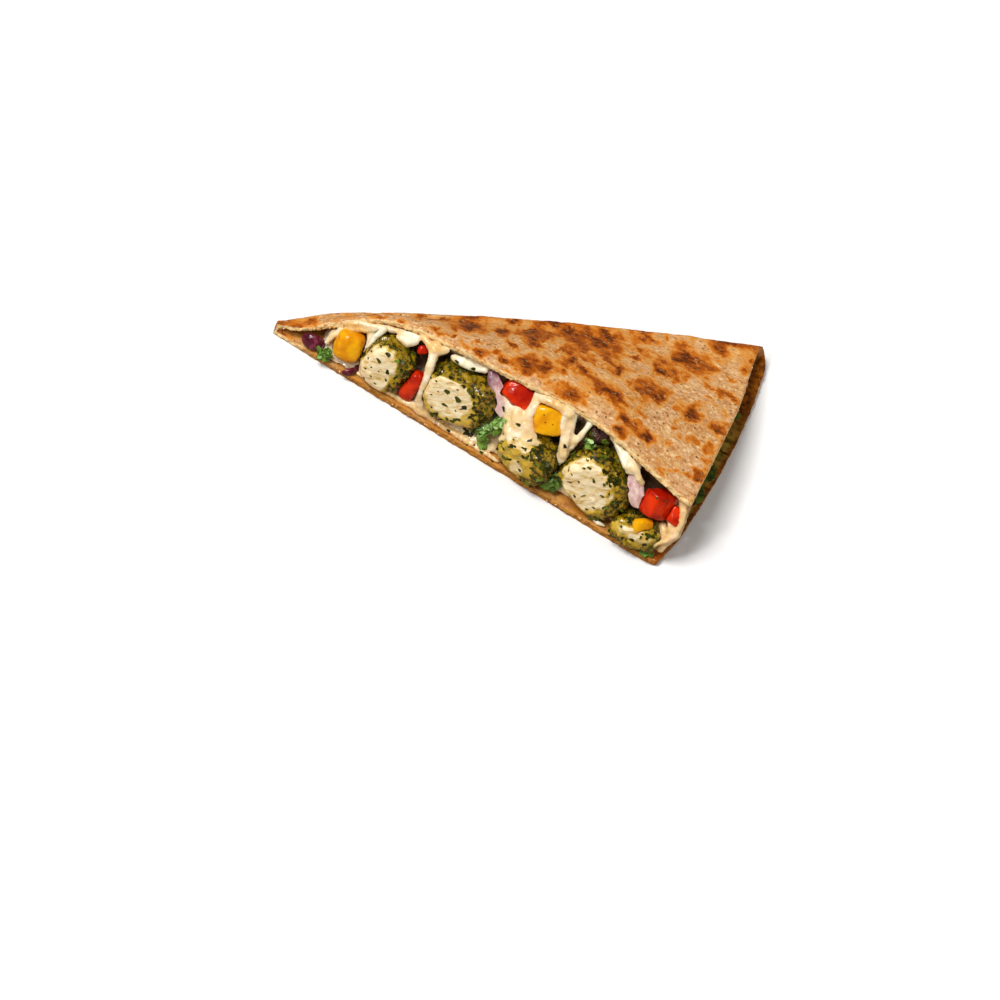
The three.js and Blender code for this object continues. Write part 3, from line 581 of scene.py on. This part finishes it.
# The strands of the CAD cheese.
STRANDS = [
    [(48.4, 15, 26, 2), (50.2, 8.5, 23.6, 2), (51.8, 4.6, 18.6, 2), (52.8, 3, 10.8, 2), (56, 3.4, 2.8, 3)],
    [(97.5, 16.5, 29, 3), (100.5, 11, 24.6, 2.6), (103, 7, 19, 2.6), (104.5, 8, 11, 2)],
    [(114.5, 16.5, 29, 2), (120, 12.4, 26.9, 2), (124, 9.8, 25.2, 2), (126.6, 12.5, 23.4, 2)],
    [(124.4, 17.5, 26.4, 2), (126.8, 12, 24.2, 2), (129, 11, 20, 2), (130, 13, 14, 2)],
    [(145, 13.5, 24.2, 2.4), (148.2, 9.6, 20, 2.4), (148.8, 6.8, 12.6, 2.4), (147, 5.4, 6, 2.4),
     (142, 7, 4.4, 2)],
    [(28, 12, 17, 2), (30, 6.6, 12, 2), (30, 5, 5, 2)],
    [(80, 16, 26, 3.4), (81, 11, 20.4, 3.4), (83, 8, 15, 3.4), (86, 9, 8, 3)],
    [(86.4, 17, 28.4, 3), (86.8, 11.6, 23.4, 3), (86.4, 8, 18, 3), (85, 6, 12, 3)],
]
# Patches that browned against the hot sheet, and milky ones: middle along and up the view of
# the cut, half width, half height, and for the brown ones how brown.
GOLDEN = [(23.5, 15.6, 5.5, 3, 0.9), (47.6, 24.8, 5, 2.4, 0.85), (36, 22.5, 4, 1.6, 0.5),
          (92.4, 28.8, 5, 1.8, 0.8), (101, 24, 3, 3, 0.25), (148.6, 12, 2.6, 10, 0.35),
          (66, 3.6, 40, 2.2, 0.55), (90, 18.5, 5, 3.5, 0.3), (146, 40, 4, 50, 0.6)]
MILKY = [(40.4, 22.7, 3.8, 2.6), (61, 25.4, 6.4, 2.4), (103.6, 28.6, 3.4, 2.2), (118.4, 26.2, 6, 3),
         (125, 2.6, 3.6, 1.6), (31, 17.5, 2.4, 5)]

cheese = copy_of("melted_cheese", "cheese")
bpy.ops.object.mode_set(mode="EDIT")
for run in DRIPS:
    for start, end in zip(run, run[1:]):
        for step in range(5):
            bead = [a + (b - a) * step / 4 for a, b in zip(start, end)]
            place = CUT_START + Vector(bead[:3]) * MM
            bpy.ops.mesh.primitive_ico_sphere_add(subdivisions=2, radius=bead[3] * MM, location=place)
bpy.ops.object.mode_set(mode="OBJECT")
remake(cheese, CHEESE_VOXEL, 0.6, 7)
places, outward = points_of(cheese)
group(cheese, "side", smooth(outward[:, 0], 0.4, 0.8) * (places[:, 0] > CUT_START.x + 138 * MM))
roughen(cheese, 6.0 * MM, 2.6 * MM, group="side", middle=0.62)
roughen(cheese, 3.0 * MM, 0.9 * MM)
roughen(cheese, 1.0 * MM, 0.25 * MM)
modify(cheese, "DECIMATE", ratio=CHEESE_KEPT)

curd = Finish("melted_cheese", 0.22, 0.6, (0.35, 0.08), 0.3, (2.5, 1.8, 1.1))
places, outward = points_of(cheese)
# Painted shade: the cheese deep in the wedge, behind the filling, is painted nearly black-brown, except
# round the drips and strands and on the cut side.
depth = (places[:, 1] - CUT_START.y) / MM
recess = smooth(depth, 8.5, 13.5)
for run in DRIPS + STRANDS:
    for start, end in zip(run, run[1:]):
        for share in np.linspace(0, 1, 5):
            x, y, z, radius = (a + (b - a) * share for a, b in zip(start, end))
            away = np.linalg.norm(places - np.array(CUT_START + Vector((x, y, z)) * MM), axis=1) / MM
            recess *= smooth(away, radius + 0.2, radius + 2.0)
along, up = in_view(places)
paint(cheese, "recess", recess * (1 - smooth(outward[:, 0], 0.2, 0.6) * smooth(along, 134, 142)))
golden = np.zeros(len(places))
milky = np.zeros(len(places))
for x, y, wide, high, share in GOLDEN:
    far = np.hypot((along - x) / wide, (up - y) / high)
    golden = np.maximum(golden, share * (1 - smooth(far, 0.5, 1.2)))
for x, y, wide, high in MILKY:
    far = np.hypot((along - x) / wide, (up - y) / high)
    milky = np.maximum(milky, 1 - smooth(far, 0.5, 1.2))
paint(cheese, "golden", golden * (1 - milky))
paint(cheese, "milky", milky)
# The cut side of the cheese, high up, is painted with herbs and oil and with painted shade.
paint(cheese, "stained",
      smooth(outward[:, 0], 0.35, 0.7) * smooth(along, 140, 145) * smooth(up, 17, 27))
curd_patches = curd.noise(5, 3)
curd_fine = curd.noise(1.1, 4, 0.6)
melt = curd.blend(curd_patches, 0.36, 0.62, (0.86, 0.63, 0.31), (0.94, 0.80, 0.58))
melt = curd.blend(curd_fine, 0.58, 0.72, melt, (0.97, 0.90, 0.74), 0.55)
melt = curd.blend(0.4 - curd_fine, 0.0, 0.1, melt, (0.62, 0.40, 0.12), 0.4)
toasty = curd.blend(curd_fine, 0.38, 0.62, (0.66, 0.27, 0.035), (0.88, 0.56, 0.17))
browning = curd.step(curd_patches + (curd_fine - 0.5) * 0.5, 0.28, 0.52) * 0.7 + 0.3
melt = curd.mix(curd.attribute("golden") * browning, melt, toasty)
melt = curd.mix(curd.attribute("milky") * 0.8, melt, (0.93, 0.90, 0.72))
# The painted shade of the deep cheese.
melt = curd.mix(curd.attribute("recess") * 0.94, melt, (0.085, 0.03, 0.006))
# Herb and oil colour with painted shade, for the cheese's cut side.
oiled = curd.step(curd_patches + (curd_fine - 0.5) * 0.6, 0.4, 0.56)
herby_and_shaded = curd.mix(oiled, (0.20, 0.075, 0.004), (0.58, 0.28, 0.04))
melt = curd.mix(curd.attribute("stained") * 0.85, melt, herby_and_shaded)
curd.set("Base Color", melt)
curd.bump(curd_fine * 0.7 + curd_patches * 0.6, 0.5 * MM, 0.5)
cheese.data.materials.append(curd.material)
bpy.ops.object.shade_smooth()
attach(cheese, "root")
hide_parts("melted_cheese")

# Roast chicken
# Six lumps of chicken roasted in oil and chopped herbs, so their outsides are dark, wet and
# craggy. Where the knife went through, the pale grain of the meat shows.

CHICKEN_VOXEL = 0.42 * MM
# Each lump's cut faces: middle along and up the view of the cut, half width, half height,
# turn in degrees, and how clean and pale the meat is there.
CUT_FACES = {
    "chicken_1": [(35.8, 8.2, 7, 9.6, 6, 0.95)],
    "chicken_2": [(61, 12.4, 10.4, 7.4, -6, 0.84), (68, 9.6, 5, 5, 0, 0.5)],
    "chicken_3": [(88.6, 13.6, 7, 4.4, -4, 0.95), (90.2, 7, 8.8, 5.6, -8, 0.44),
                  (92, 4.6, 3.4, 2.2, -20, 0.66)],
    "chicken_4": [(115.2, 12, 10.5, 7.7, -27, 1)],
    "chicken_5": [(136, 8.6, 10, 6, 0, 0.52), (136.2, 7.4, 4.4, 3.2, -12, 0.84),
                  (131.4, 10, 2.6, 2, 30, 0.8)],
    "chicken_6": [],
}

meat = Finish("herbed_chicken", 0.5, 0.25, (0, 0.06), 0.12, (1.5, 1, 0.6))
meat_patches = meat.noise(3.4, 3, 0.55)
meat_fine = meat.noise(0.55, 4, 0.62)
fibres = meat.noise(1.5, 5, 0.62, 0.5, (0.3, 1, 1), 0.5)
pale_meat = meat.blend(fibres, 0.38, 0.58, (0.76, 0.55, 0.23), (0.96, 0.83, 0.56))
pale_meat = meat.blend(meat_patches, 0.54, 0.68, pale_meat, (0.88, 0.70, 0.46), 0.5)
pale_meat = meat.blend(0.4 - fibres, 0.0, 0.05, pale_meat, (0.46, 0.28, 0.05), 0.6)
sheen = meat.blend(meat_patches, 0.42, 0.6, (0.68, 0.44, 0.04), (0.40, 0.28, 0.012))
sheen = meat.blend(meat_fine, 0.6, 0.68, sheen, (0.15, 0.12, 0.006), 0.7)
clots = meat.noise(1.4, 3, 0.55) + (meat_fine - 0.5) * 0.45
wet = meat.blend(clots, 0.42, 0.57, (0.036, 0.028, 0.002), (0.27, 0.175, 0.006))
wet = meat.blend(meat_patches, 0.48, 0.62, wet, (0.45, 0.275, 0.009), 0.8)
face = meat.attribute("cut_face")
wavering = face + (meat_patches - 0.5) * 0.5 + (meat_fine - 0.5) * 0.3
coating = meat.blend(wavering, 0.06, 0.36, wet, sheen)
flesh = meat.blend(wavering, 0.38, 0.8, coating, pale_meat)
dark_bit = meat.blend(meat_fine, 0.4, 0.62, (0.03, 0.012, 0.012), (0.12, 0.05, 0.04))
flesh = meat.mix(meat.attribute("charred"), flesh, dark_bit)
meat.set("Base Color", flesh)
meat.set("Roughness", meat.step(face, 0.2, 0.8) * 0.26 + 0.14)
meat.set("Coat Weight", (1 - meat.step(face, 0.3, 0.8)) * 0.55)
meat.bump((fibres * 0.6 + meat_fine * 0.9 + meat_patches * 0.4) * (1.1 - 0.55 * face), 0.5 * MM, 0.8)

chicken_pieces = []
for node, cuts in CUT_FACES.items():
    chicken = copy_of(node, f"roast_{node}")
    remake(chicken, CHICKEN_VOXEL, 0.5, 6)
    places, outward = points_of(chicken)
    along, up = in_view(places)
    cut_face = np.zeros(len(places))
    for x, y, wide, high, turn, light in cuts:
        across, over = turned(along, up, x, y, turn)
        far = (np.abs(across / wide) ** 2.4 + np.abs(over / high) ** 2.4) ** (1 / 2.4)
        far += 0.08 * wobble(along, up, 4, 3)
        sliced = (1 - smooth(far, 0.62, 1.14)) * smooth(-outward[:, 1], 0, 0.4)
        cut_face = np.maximum(cut_face, sliced * light)
    paint(chicken, "cut_face", cut_face)
    paint(chicken, "charred", np.full(len(places), node == "chicken_6"))
    group(chicken, "crust", 1 - cut_face)
    group(chicken, "cut", cut_face)
    roughen(chicken, 2.8 * MM, 2.2 * MM, group="crust")
    roughen(chicken, 1.2 * MM, 0.7 * MM, group="crust")
    roughen(chicken, 2.4 * MM, 0.36 * MM, group="cut")
    chicken.data.materials.append(meat.material)
    bpy.ops.object.shade_smooth()
    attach(chicken, "root")
    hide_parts(node)
    chicken_pieces.append(chicken)

# Peppers
# Diced yellow and red bell pepper, cooked soft: a smooth taut skin on one side, wet flesh on
# the others.

PEPPER_VOXEL = 0.36 * MM
# Rounds of smoothing, and how many the pieces get that aren't named.
PEPPER_ROUNDS = 12
PEPPER_ROUNDING = {"yellow_pepper_1": 180, "yellow_pepper_2": 22, "red_pepper_1": 50, "red_pepper_3": 7,
                   "yellow_pepper_3": 16}


def pepper_finish(name, deep, bright, pale):
    """Glossy pepper, paler in patches, with a few dark pits."""
    made = Finish(name, 0.2, 0.22, (0.16, 0.05), 0.04, (2, 0.6, 0.2))
    broad = made.noise(6, 2)
    narrow = made.noise(0.9, 4, 0.6)
    hue = made.blend(broad, 0.35, 0.62, deep, bright)
    hue = made.blend(narrow, 0.62, 0.8, hue, pale, 0.4)
    made.set("Base Color", hue)
    made.bump(narrow * 0.4 + broad * 0.8, 0.4 * MM, 0.4)
    return made.material


yellow = pepper_finish("yellow_pepper", (0.66, 0.23, 0.001), (0.86, 0.42, 0.003), (0.92, 0.60, 0.05))
red = pepper_finish("red_pepper", (0.38, 0.007, 0.001), (0.72, 0.032, 0.001), (0.80, 0.17, 0.01))
for node in [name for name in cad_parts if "pepper" in name]:
    pepper = copy_of(node, f"cooked_{node}")
    remake(pepper, PEPPER_VOXEL, 0.6, PEPPER_ROUNDING.get(node, PEPPER_ROUNDS))
    roughen(pepper, 4.4 * MM, 0.9 * MM)
    modify(pepper, "SMOOTH", factor=0.5, iterations=2)
    pepper.data.materials.append(yellow if "yellow" in node else red)
    bpy.ops.object.shade_smooth()
    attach(pepper, "root")
    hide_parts(node)

# Red onion
# Strips of red onion, cooked limp: deep purple skin at the tip of the wedge and pale,
# see-through flesh further along.

onion_looks = {
    "deep": ((0.03, 0.002, 0.007), (0.105, 0.006, 0.022), (0.25, 0.045, 0.085)),
    "pale": ((0.46, 0.20, 0.23), (0.72, 0.48, 0.46), (0.90, 0.76, 0.68)),
}
onion_finishes = {}
for name, (deep, mid, pale) in onion_looks.items():
    made = Finish(f"{name}_red_onion", 0.25, 0.35, (0.2, 0.1), 0.15, (1.5, 0.8, 1))
    veins = made.noise(1.6, 3, 0.55, 0.4, (1, 1, 0.4), 0.6)
    hue = made.blend(veins, 0.28, 0.5, deep, mid)
    hue = made.blend(veins, 0.5, 0.66, hue, pale, 0.8)
    hue = made.mix(made.attribute("purple"), hue, (0.14, 0.035, 0.075))
    made.set("Base Color", hue)
    made.bump(veins, 0.2 * MM, 0.35)
    onion_finishes[name] = made.material
for node in [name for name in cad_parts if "onion" in name]:
    onion = copy_of(node, f"cooked_{node}")
    modify(onion, "SUBSURF", levels=2)
    roughen(onion, 1.6 * MM, 0.35 * MM)
    along, up = in_view(points_of(onion)[0])
    ends = {"3": (1 - smooth(along, 69.5, 74.5)) * 0.85, "4": smooth(up, 19, 25) * 0.35}
    paint(onion, "purple", ends.get(node[-1], np.zeros(len(along))))
    onion.data.materials.append(onion_finishes["deep" if node[-1] in "12" else "pale"])
    bpy.ops.object.shade_smooth()
    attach(onion, "root")
    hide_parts(node)

# Parsley and spinach
# Leaves of parsley between the lumps, curled and wet, and spinach leaves that stick out at
# the cut side.

leaf_looks = {
    "parsley": ((0.035, 0.08, 0.004), (0.18, 0.34, 0.04), (0.44, 0.60, 0.18)),
    "spinach": ((0.03, 0.06, 0.002), (0.12, 0.20, 0.008), (0.34, 0.38, 0.05)),
}
for kind, (deep, mid, pale) in leaf_looks.items():
    made = Finish(f"{kind}_leaf", 0.32, 0.3, (0.15, 0.15), 0.1, (0.5, 1, 0.3))
    broad = made.noise(2.2, 3)
    narrow = made.noise(0.6, 4, 0.6)
    hue = made.blend(broad, 0.36, 0.6, deep, mid)
    hue = made.blend(narrow, 0.55, 0.72, hue, pale, 0.7)
    made.set("Base Color", hue)
    made.bump(narrow * 0.8 + broad, 0.5 * MM, 0.8)
    for node in [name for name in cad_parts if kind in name]:
        leaf = copy_of(node, f"{node}_leaf")
        modify(leaf, "SUBSURF", levels=3 if kind == "parsley" else 2)
        roughen(leaf, 1.7 * MM, 1.1 * MM)
        roughen(leaf, 0.6 * MM, 0.3 * MM)
        leaf.data.materials.append(made.material)
        bpy.ops.object.shade_smooth()
        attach(leaf, "root")
        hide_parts(node)

# Chopped herbs
# Flakes of parsley and oregano, stuck in the oil on the chicken and strewn over the cheese
# and the peppers. Each is a thin bent scrap.

CRUST_FLAKES = 860
bpy.ops.mesh.primitive_circle_add(vertices=7, radius=0.5, fill_type="TRIFAN")
scrap = bpy.context.object
scrap.name = "herb_scrap"
bpy.ops.object.mode_set(mode="EDIT")
bpy.ops.mesh.select_all(action="SELECT")
bpy.ops.transform.vertex_random(offset=0.14, uniform=0.2, seed=5)
bpy.ops.mesh.solidify(thickness=0.22)
bpy.ops.object.mode_set(mode="OBJECT")


def strewn(scrap, spots, name):
    """One piece made of many copies of a small scrap.

    Each spot has a place, an outward direction, a length and a width in metres, a turn in
    radians and a tint.
    """
    count = len(scrap.data.vertices)
    shape = np.zeros(count * 3, np.float32)
    scrap.data.vertices.foreach_get("co", shape)
    shape = shape.reshape(-1, 3)
    faces = [tuple(face.vertices) for face in scrap.data.polygons]
    corners, sides, tints = [], [], []
    for number, (place, normal, length, width, turn, tint) in enumerate(spots):
        lie = Vector(normal).to_track_quat("Z", "Y").to_matrix() @ Matrix.Rotation(turn, 3, "Z")
        size = np.array((length, width, min(length, width) * 0.8))
        corners.append((shape * size) @ np.array(lie).T + np.array(place))
        sides.extend(tuple(corner + number * count for corner in face) for face in faces)
        tints.append(np.full(count, tint))
    mesh = bpy.data.meshes.new(name)
    mesh.from_pydata(np.concatenate(corners).tolist(), [], sides)
    piece = bpy.data.objects.new(name, mesh)
    bpy.context.scene.collection.objects.link(piece)
    paint(piece, "tint", np.concatenate(tints))
    return piece


# The flakes that show on the cut faces, the cheese and the peppers: place along and up the
# view of the cut in millimetres, length, width, turn in degrees and how bright the green is.
SHOWN_FLAKES = [
    (33.7, 15.4, 1.6, 0.8, -30, 0.2), (37, 14.3, 2, 1.4, 0, 0.3), (35.4, 11, 2.2, 1.1, -25, 0.5),
    (31.7, 12.4, 1.3, 0.6, 30, 0.3), (39.8, 9.3, 2.1, 1.3, -60, 0.3), (32, 9.9, 1.1, 0.8, 0, 0.4),
    (32.9, 6.5, 0.9, 0.6, 20, 0.3), (35.8, 5.3, 0.8, 0.6, 0, 0.5), (40.7, 14, 1.7, 1.1, 20, 1),
    (42.4, 12.4, 1.2, 0.8, 60, 0.9), (37.6, 17.4, 1.5, 1, 0, 0.2), (40.7, 6.8, 1.2, 0.7, -40, 0.4),
    (43, 9, 1.5, 1, 70, 0.2), (34.4, 7.9, 0.8, 0.5, 45, 0.2), (38.2, 4, 1, 0.6, -20, 0.5),
    (37.2, 8, 0.7, 0.4, 0, 0.3), (34.2, 3.6, 1, 0.6, -30, 0.4), (31, 15, 1, 0.6, 60, 0.5),
    (60, 14.1, 2.2, 1.8, 0, 0.55), (64.3, 13.7, 2.6, 1.9, -25, 0.5), (67.3, 12.4, 2.8, 1.6, 55, 0.1),
    (61.7, 9.8, 2.4, 1.5, -15, 0.55), (59, 18.4, 2.3, 1.7, -10, 0.05), (63.8, 18.4, 1.6, 1.2, 0, 0.1),
    (67.9, 17.4, 2.1, 1.4, -40, 0.1), (67.9, 8.1, 1.9, 1.5, 30, 0.4), (53.9, 20.6, 1.8, 1.2, 0, 0.6),
    (60.8, 22.9, 2, 1.2, -15, 0.2), (56.4, 21.2, 1.2, 0.8, 20, 0.3), (58.2, 7.1, 1, 0.6, -30, 0.3),
    (55.1, 15.2, 0.9, 0.6, 0, 0.3), (70.8, 10.9, 1.8, 1.2, 60, 0.2), (64.5, 6.5, 1.5, 0.9, -10, 0.4),
    (56, 10.6, 0.8, 0.5, 0, 0.4), (62.6, 16.4, 0.9, 0.5, 30, 0.3), (57.4, 12.6, 0.6, 0.4, 0, 0.2),
    (65.6, 10.2, 0.8, 0.5, -20, 0.5), (54.6, 18.2, 1.2, 0.8, -50, 0.2), (70.2, 14.2, 1.7, 1.2, 80, 0.1),
    (66, 20.4, 1.8, 1.3, 10, 0.3), (57.6, 24.2, 1.7, 1.1, 0, 0.4), (63.4, 25, 1.6, 1.2, 30, 0.2),
    (79.1, 19, 2.5, 1.3, -35, 0.1), (85.6, 17.1, 1.8, 1.1, 20, 0.3), (91.6, 14.6, 1.9, 0.9, 70, 0.2),
    (86.9, 12.1, 0.9, 0.6, 0, 0.5), (88.4, 10.4, 1.3, 0.8, 10, 0.2), (92.2, 9, 2.4, 1.2, -15, 0.2),
    (89.4, 5.9, 1.7, 1, 10, 0.3), (85.6, 7.8, 1.3, 0.8, 0, 0.4), (96.9, 7.1, 1.8, 1.1, 30, 0.2),
    (84.1, 9, 1.1, 0.8, 40, 0.3), (93.8, 4.6, 1.5, 0.9, 0, 0.3), (87.6, 3.6, 1.3, 0.8, -20, 0.3),
    (91, 11.4, 1.2, 0.7, 0, 0.3), (94.8, 10.4, 1.6, 1, -50, 0.1), (83, 12, 1, 0.7, 0, 0.5),
    (107.5, 21.2, 1.8, 1.2, 20, 0.1), (113.1, 20.9, 2.2, 1.6, -20, 0.1), (118.1, 18.7, 2.5, 1.7, -30, 0.05),
    (116.6, 14.3, 2.2, 1, -52, 0.6), (113.1, 17.2, 1.7, 0.9, 0, 0.6), (111.6, 16.2, 1.1, 0.7, 20, 0.4),
    (121.6, 11.5, 1.6, 0.8, -10, 0.6), (112.5, 11.5, 0.9, 0.7, 0, 0.3), (110, 9.9, 1.6, 0.5, 25, 0.3),
    (107.5, 13.4, 2, 0.4, -32, 0.2), (116.2, 8.4, 1.8, 0.5, 45, 0.5), (124.1, 8.7, 1.7, 0.9, 50, 0.2),
    (121.2, 6.8, 1.1, 0.7, 0, 0.4), (105.2, 16.4, 1.7, 1.1, 60, 0.3), (119.4, 5.2, 1.1, 0.7, 0, 0.3),
    (111.2, 19, 1.1, 0.7, -20, 0.4), (123.1, 13.4, 1.1, 0.7, -60, 0.4), (121.9, 15.9, 1.6, 1.1, -40, 0.2),
    (109.2, 12.4, 1.3, 0.4, -40, 0.2), (113.8, 6.8, 1.3, 0.8, -30, 0.2), (106.6, 18.4, 1.2, 0.8, 0, 0.5),
    (102.5, 19, 1.8, 1.2, -50, 0), (91.2, 24.3, 0.6, 0.4, 0, 0), (92.8, 22.4, 0.5, 0.4, 0, 0),
    (95.3, 23.1, 0.5, 0.4, 0, 0), (133.9, 10.2, 1.5, 0.8, 20, 0.3), (139.4, 7.8, 0.9, 0.6, 0, 0.2),
    (141.2, 8.4, 2.6, 1.6, 10, 0.5), (143.2, 9.2, 2.4, 1.6, 60, 0.7), (130.4, 12, 1.6, 1, 30, 0.3),
    (132, 6.4, 1.5, 0.8, -20, 0.4), (137.4, 4.4, 2, 1.2, 10, 0.3), (141.8, 5.2, 1.9, 1.3, 60, 0.2),
    (137.2, 20.4, 1, 0.8, 0, 0.5), (139.6, 20.8, 0.8, 0.6, 0, 0.4), (67, 3.4, 1.5, 0.9, 0, 0.2),
    (74.5, 2.6, 1.2, 0.8, 20, 0.3), (80, 3, 1.5, 0.9, -10, 0.5), (76.8, 3.8, 1, 0.7, 0, 0.4),
    (84.6, 2.4, 1.2, 0.8, 10, 0.4), (99.6, 3.6, 1.6, 1, 0, 0.3), (144.6, 4, 1.9, 1.1, -60, 0.8),
]
# Clumps of them: middle along and up the view of the cut, spread and how many.
FLAKE_CLUMPS = [(95.4, 12.6, 1.8, 22), (122.6, 18.4, 2.2, 16), (74, 12, 2.2, 18), (101.6, 10, 2.6, 22),
                (114.6, 24.4, 3, 18), (73, 6.4, 2, 12), (126.8, 12.4, 2, 14), (45, 12, 2.2, 12)]
shown_trees = [BVHTree.FromObject(piece, bpy.context.evaluated_depsgraph_get()) for piece in bpy.data.objects
               if piece.type == "MESH" and not piece.hide_render and piece not in (table_top, scrap)]


def seen_at(x, y):
    """Where the camera sees the part at a place in the view of the cut, and which way it faces."""
    rise = Vector((0, math.sin(CAMERA_ELEVATION), math.cos(CAMERA_ELEVATION)))
    start = CUT_START + Vector((x, 0, 0)) * MM + rise * y * MM + towards_camera * 0.3
    hits = [tree.ray_cast(start, -towards_camera) for tree in shown_trees]
    hits = [hit for hit in hits if hit[0] is not None]
    return min(hits, key=lambda hit: hit[3])[:2] if hits else None


draw = np.random.default_rng(23)
spots = []
clumped = [(x + draw.normal(0, wide / 2), y + draw.normal(0, wide / 2), draw.uniform(0.9, 2.2),
            draw.uniform(0.6, 1.4), draw.uniform(0, 180), draw.uniform(0, 0.5))
           for x, y, wide, count in FLAKE_CLUMPS for _ in range(count)]
for x, y, length, width, turn, bright in SHOWN_FLAKES + clumped:
    hit = seen_at(x, y)
    if hit:
        way = hit[1].normalized()
        lie = way.to_track_quat("Z", "Y").to_matrix()
        aim = lie.transposed() @ Vector((math.cos(math.radians(turn)), 0, math.sin(math.radians(turn))))
        place = hit[0] + way * 0.1 * MM
        spots.append((place, way, length * MM, width * MM, math.atan2(aim.y, aim.x), bright))
total = sum(len(piece.data.vertices) for piece in chicken_pieces)
for piece in chicken_pieces:
    places, outward = points_of(piece)
    crust = np.zeros(len(places), np.float32)
    piece.data.attributes["cut_face"].data.foreach_get("value", crust)
    chance = (1 - crust) ** 2 + 0.012
    share = max(20, int(CRUST_FLAKES * len(places) / total))
    for i in draw.choice(len(places), share, p=chance / chance.sum()):
        way = outward[i] + draw.normal(0, 0.22, 3)
        length = draw.uniform(0.8, 1.78) ** 1.9 * MM
        spots.append((places[i] + outward[i] * 0.12 * MM, way, length, length * draw.uniform(0.45, 0.85),
                      draw.uniform(0, 6.28), draw.uniform(0, 0.95)))
herbs = strewn(scrap, spots, "chopped_herbs")
herb = Finish("chopped_herbs", 0.35, 0.14, (0.07, 0.1))
tint = herb.attribute("tint")
hue = herb.ramp(tint, [(0, (0.02, 0.018, 0.002)), (0.35, (0.034, 0.037, 0.002)), (0.75, (0.085, 0.1, 0.004)),
                       (1, (0.16, 0.27, 0.03))])
herb.set("Base Color", hue)
herb.bump(herb.noise(0.4, 3), 0.2 * MM, 0.6)
herbs.data.materials.append(herb.material)
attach(herbs, "root")

# Parsley florets
# Torn curls of fresh parsley that caught between the lumps of chicken, brighter than the
# leaves that cooked.

# Clumps: middle along and up the view of the cut, spread, how many, and how bright.
FLORETS = [(79.9, 13.8, 1.5, 9, 0.8), (81.6, 15.2, 0.9, 4, 0.9), (77.6, 11.2, 1.3, 7, 0.8),
           (75.9, 9.5, 1.2, 6, 0.85), (76.8, 7, 1, 3, 0.3), (108.5, 24.8, 0.9, 4, 0.85),
           (105.4, 8.9, 1.3, 7, 0.6), (107.6, 7.8, 1, 4, 0.7), (103.4, 8.4, 1.2, 4, 0.2),
           (144.4, 3.6, 1, 3, 0.6), (18.8, 3.8, 1.5, 8, 0.35)]
bpy.ops.mesh.primitive_circle_add(vertices=9, radius=0.5, fill_type="TRIFAN")
curl = bpy.context.object
curl.name = "parsley_curl"
bpy.ops.object.mode_set(mode="EDIT")
bpy.ops.mesh.select_all(action="SELECT")
bpy.ops.mesh.subdivide(number_cuts=2)
bpy.ops.transform.vertex_random(offset=0.04, uniform=0.3, seed=3)
bpy.ops.object.mode_set(mode="OBJECT")
roughen(curl, 0.42, 0.75)
modify(curl, "SOLIDIFY", thickness=0.07)
modify(curl, "SMOOTH", factor=0.5, iterations=1)
draw = np.random.default_rng(41)
spots = []
for x, y, wide, count, bright in FLORETS:
    for _ in range(count):
        hit = seen_at(x + draw.normal(0, wide * 0.6), y + draw.normal(0, wide * 0.6))
        if hit:
            way = hit[1].normalized() + Vector(draw.normal(0, 0.45, 3))
            length = draw.uniform(1.9, 3.2) * MM
            place = hit[0] + hit[1] * draw.uniform(0.1, 0.6) * MM
            spots.append((place, way, length, length * draw.uniform(0.7, 1), draw.uniform(0, 6.28),
                          bright + draw.uniform(-0.2, 0.36)))
florets = strewn(curl, spots, "parsley_florets")
bpy.data.objects.remove(curl)
fresh = Finish("fresh_parsley", 0.4, 0.4, (0.15, 0.03))
hue = fresh.ramp(fresh.attribute("tint") + (fresh.noise(0.7, 3) - 0.5) * 0.7,
                 [(0, (0.02, 0.045, 0.002)), (0.35, (0.08, 0.19, 0.012)), (0.65, (0.19, 0.40, 0.06)),
                  (1, (0.44, 0.64, 0.25))])
fresh.set("Base Color", hue)
fresh.bump(fresh.noise(0.35, 3), 0.2 * MM, 0.6)
florets.data.materials.append(fresh.material)
pick(florets)
bpy.ops.object.shade_smooth()
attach(florets, "root")

# Crumbs
# Crumbs of tortilla that broke off under the knife and cling along both cut edges, most of
# them near the tip.

CRUMBS = 420
bpy.ops.mesh.primitive_ico_sphere_add(subdivisions=1, radius=0.5)
bit = bpy.context.object
bit.name = "crumb_bit"
bpy.ops.object.mode_set(mode="EDIT")
bpy.ops.transform.vertex_random(offset=0.16, uniform=0.3, seed=8)
bpy.ops.object.mode_set(mode="OBJECT")
places, outward = points_of(tortilla)
along, up = in_view(places)
edge = np.zeros(len(places), np.float32)
tortilla.data.attributes["cut_edge"].data.foreach_get("value", edge)
chance = edge * (0.35 + np.exp(-(((along - 22) / 14) ** 2)) + (places[:, 2] < 4 * MM) * 0.3)
chance *= places[:, 2] > 0.5 * MM
draw = np.random.default_rng(57)
spots = []
for i in draw.choice(len(places), CRUMBS, p=chance / chance.sum()):
    length = draw.uniform(0.4, 1.1) ** 1.4 * MM
    spots.append((places[i] - outward[i] * 0.05 * MM, outward[i] + draw.normal(0, 0.3, 3), length,
                  length * draw.uniform(0.6, 1), draw.uniform(0, 6.28), draw.uniform(0, 1)))
crumbs = strewn(bit, spots, "tortilla_crumbs")
bpy.data.objects.remove(bit)
bpy.data.objects.remove(scrap)
crusty = Finish("crumbs", 0.75, 0.2)
hue = crusty.ramp(crusty.attribute("tint"), [(0, (0.42, 0.16, 0.03)), (0.4, (0.70, 0.38, 0.12)),
                                             (0.7, (0.85, 0.58, 0.27)), (1, (0.95, 0.76, 0.46))])
crusty.set("Base Color", hue)
crumbs.data.materials.append(crusty.material)
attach(crumbs, "root")
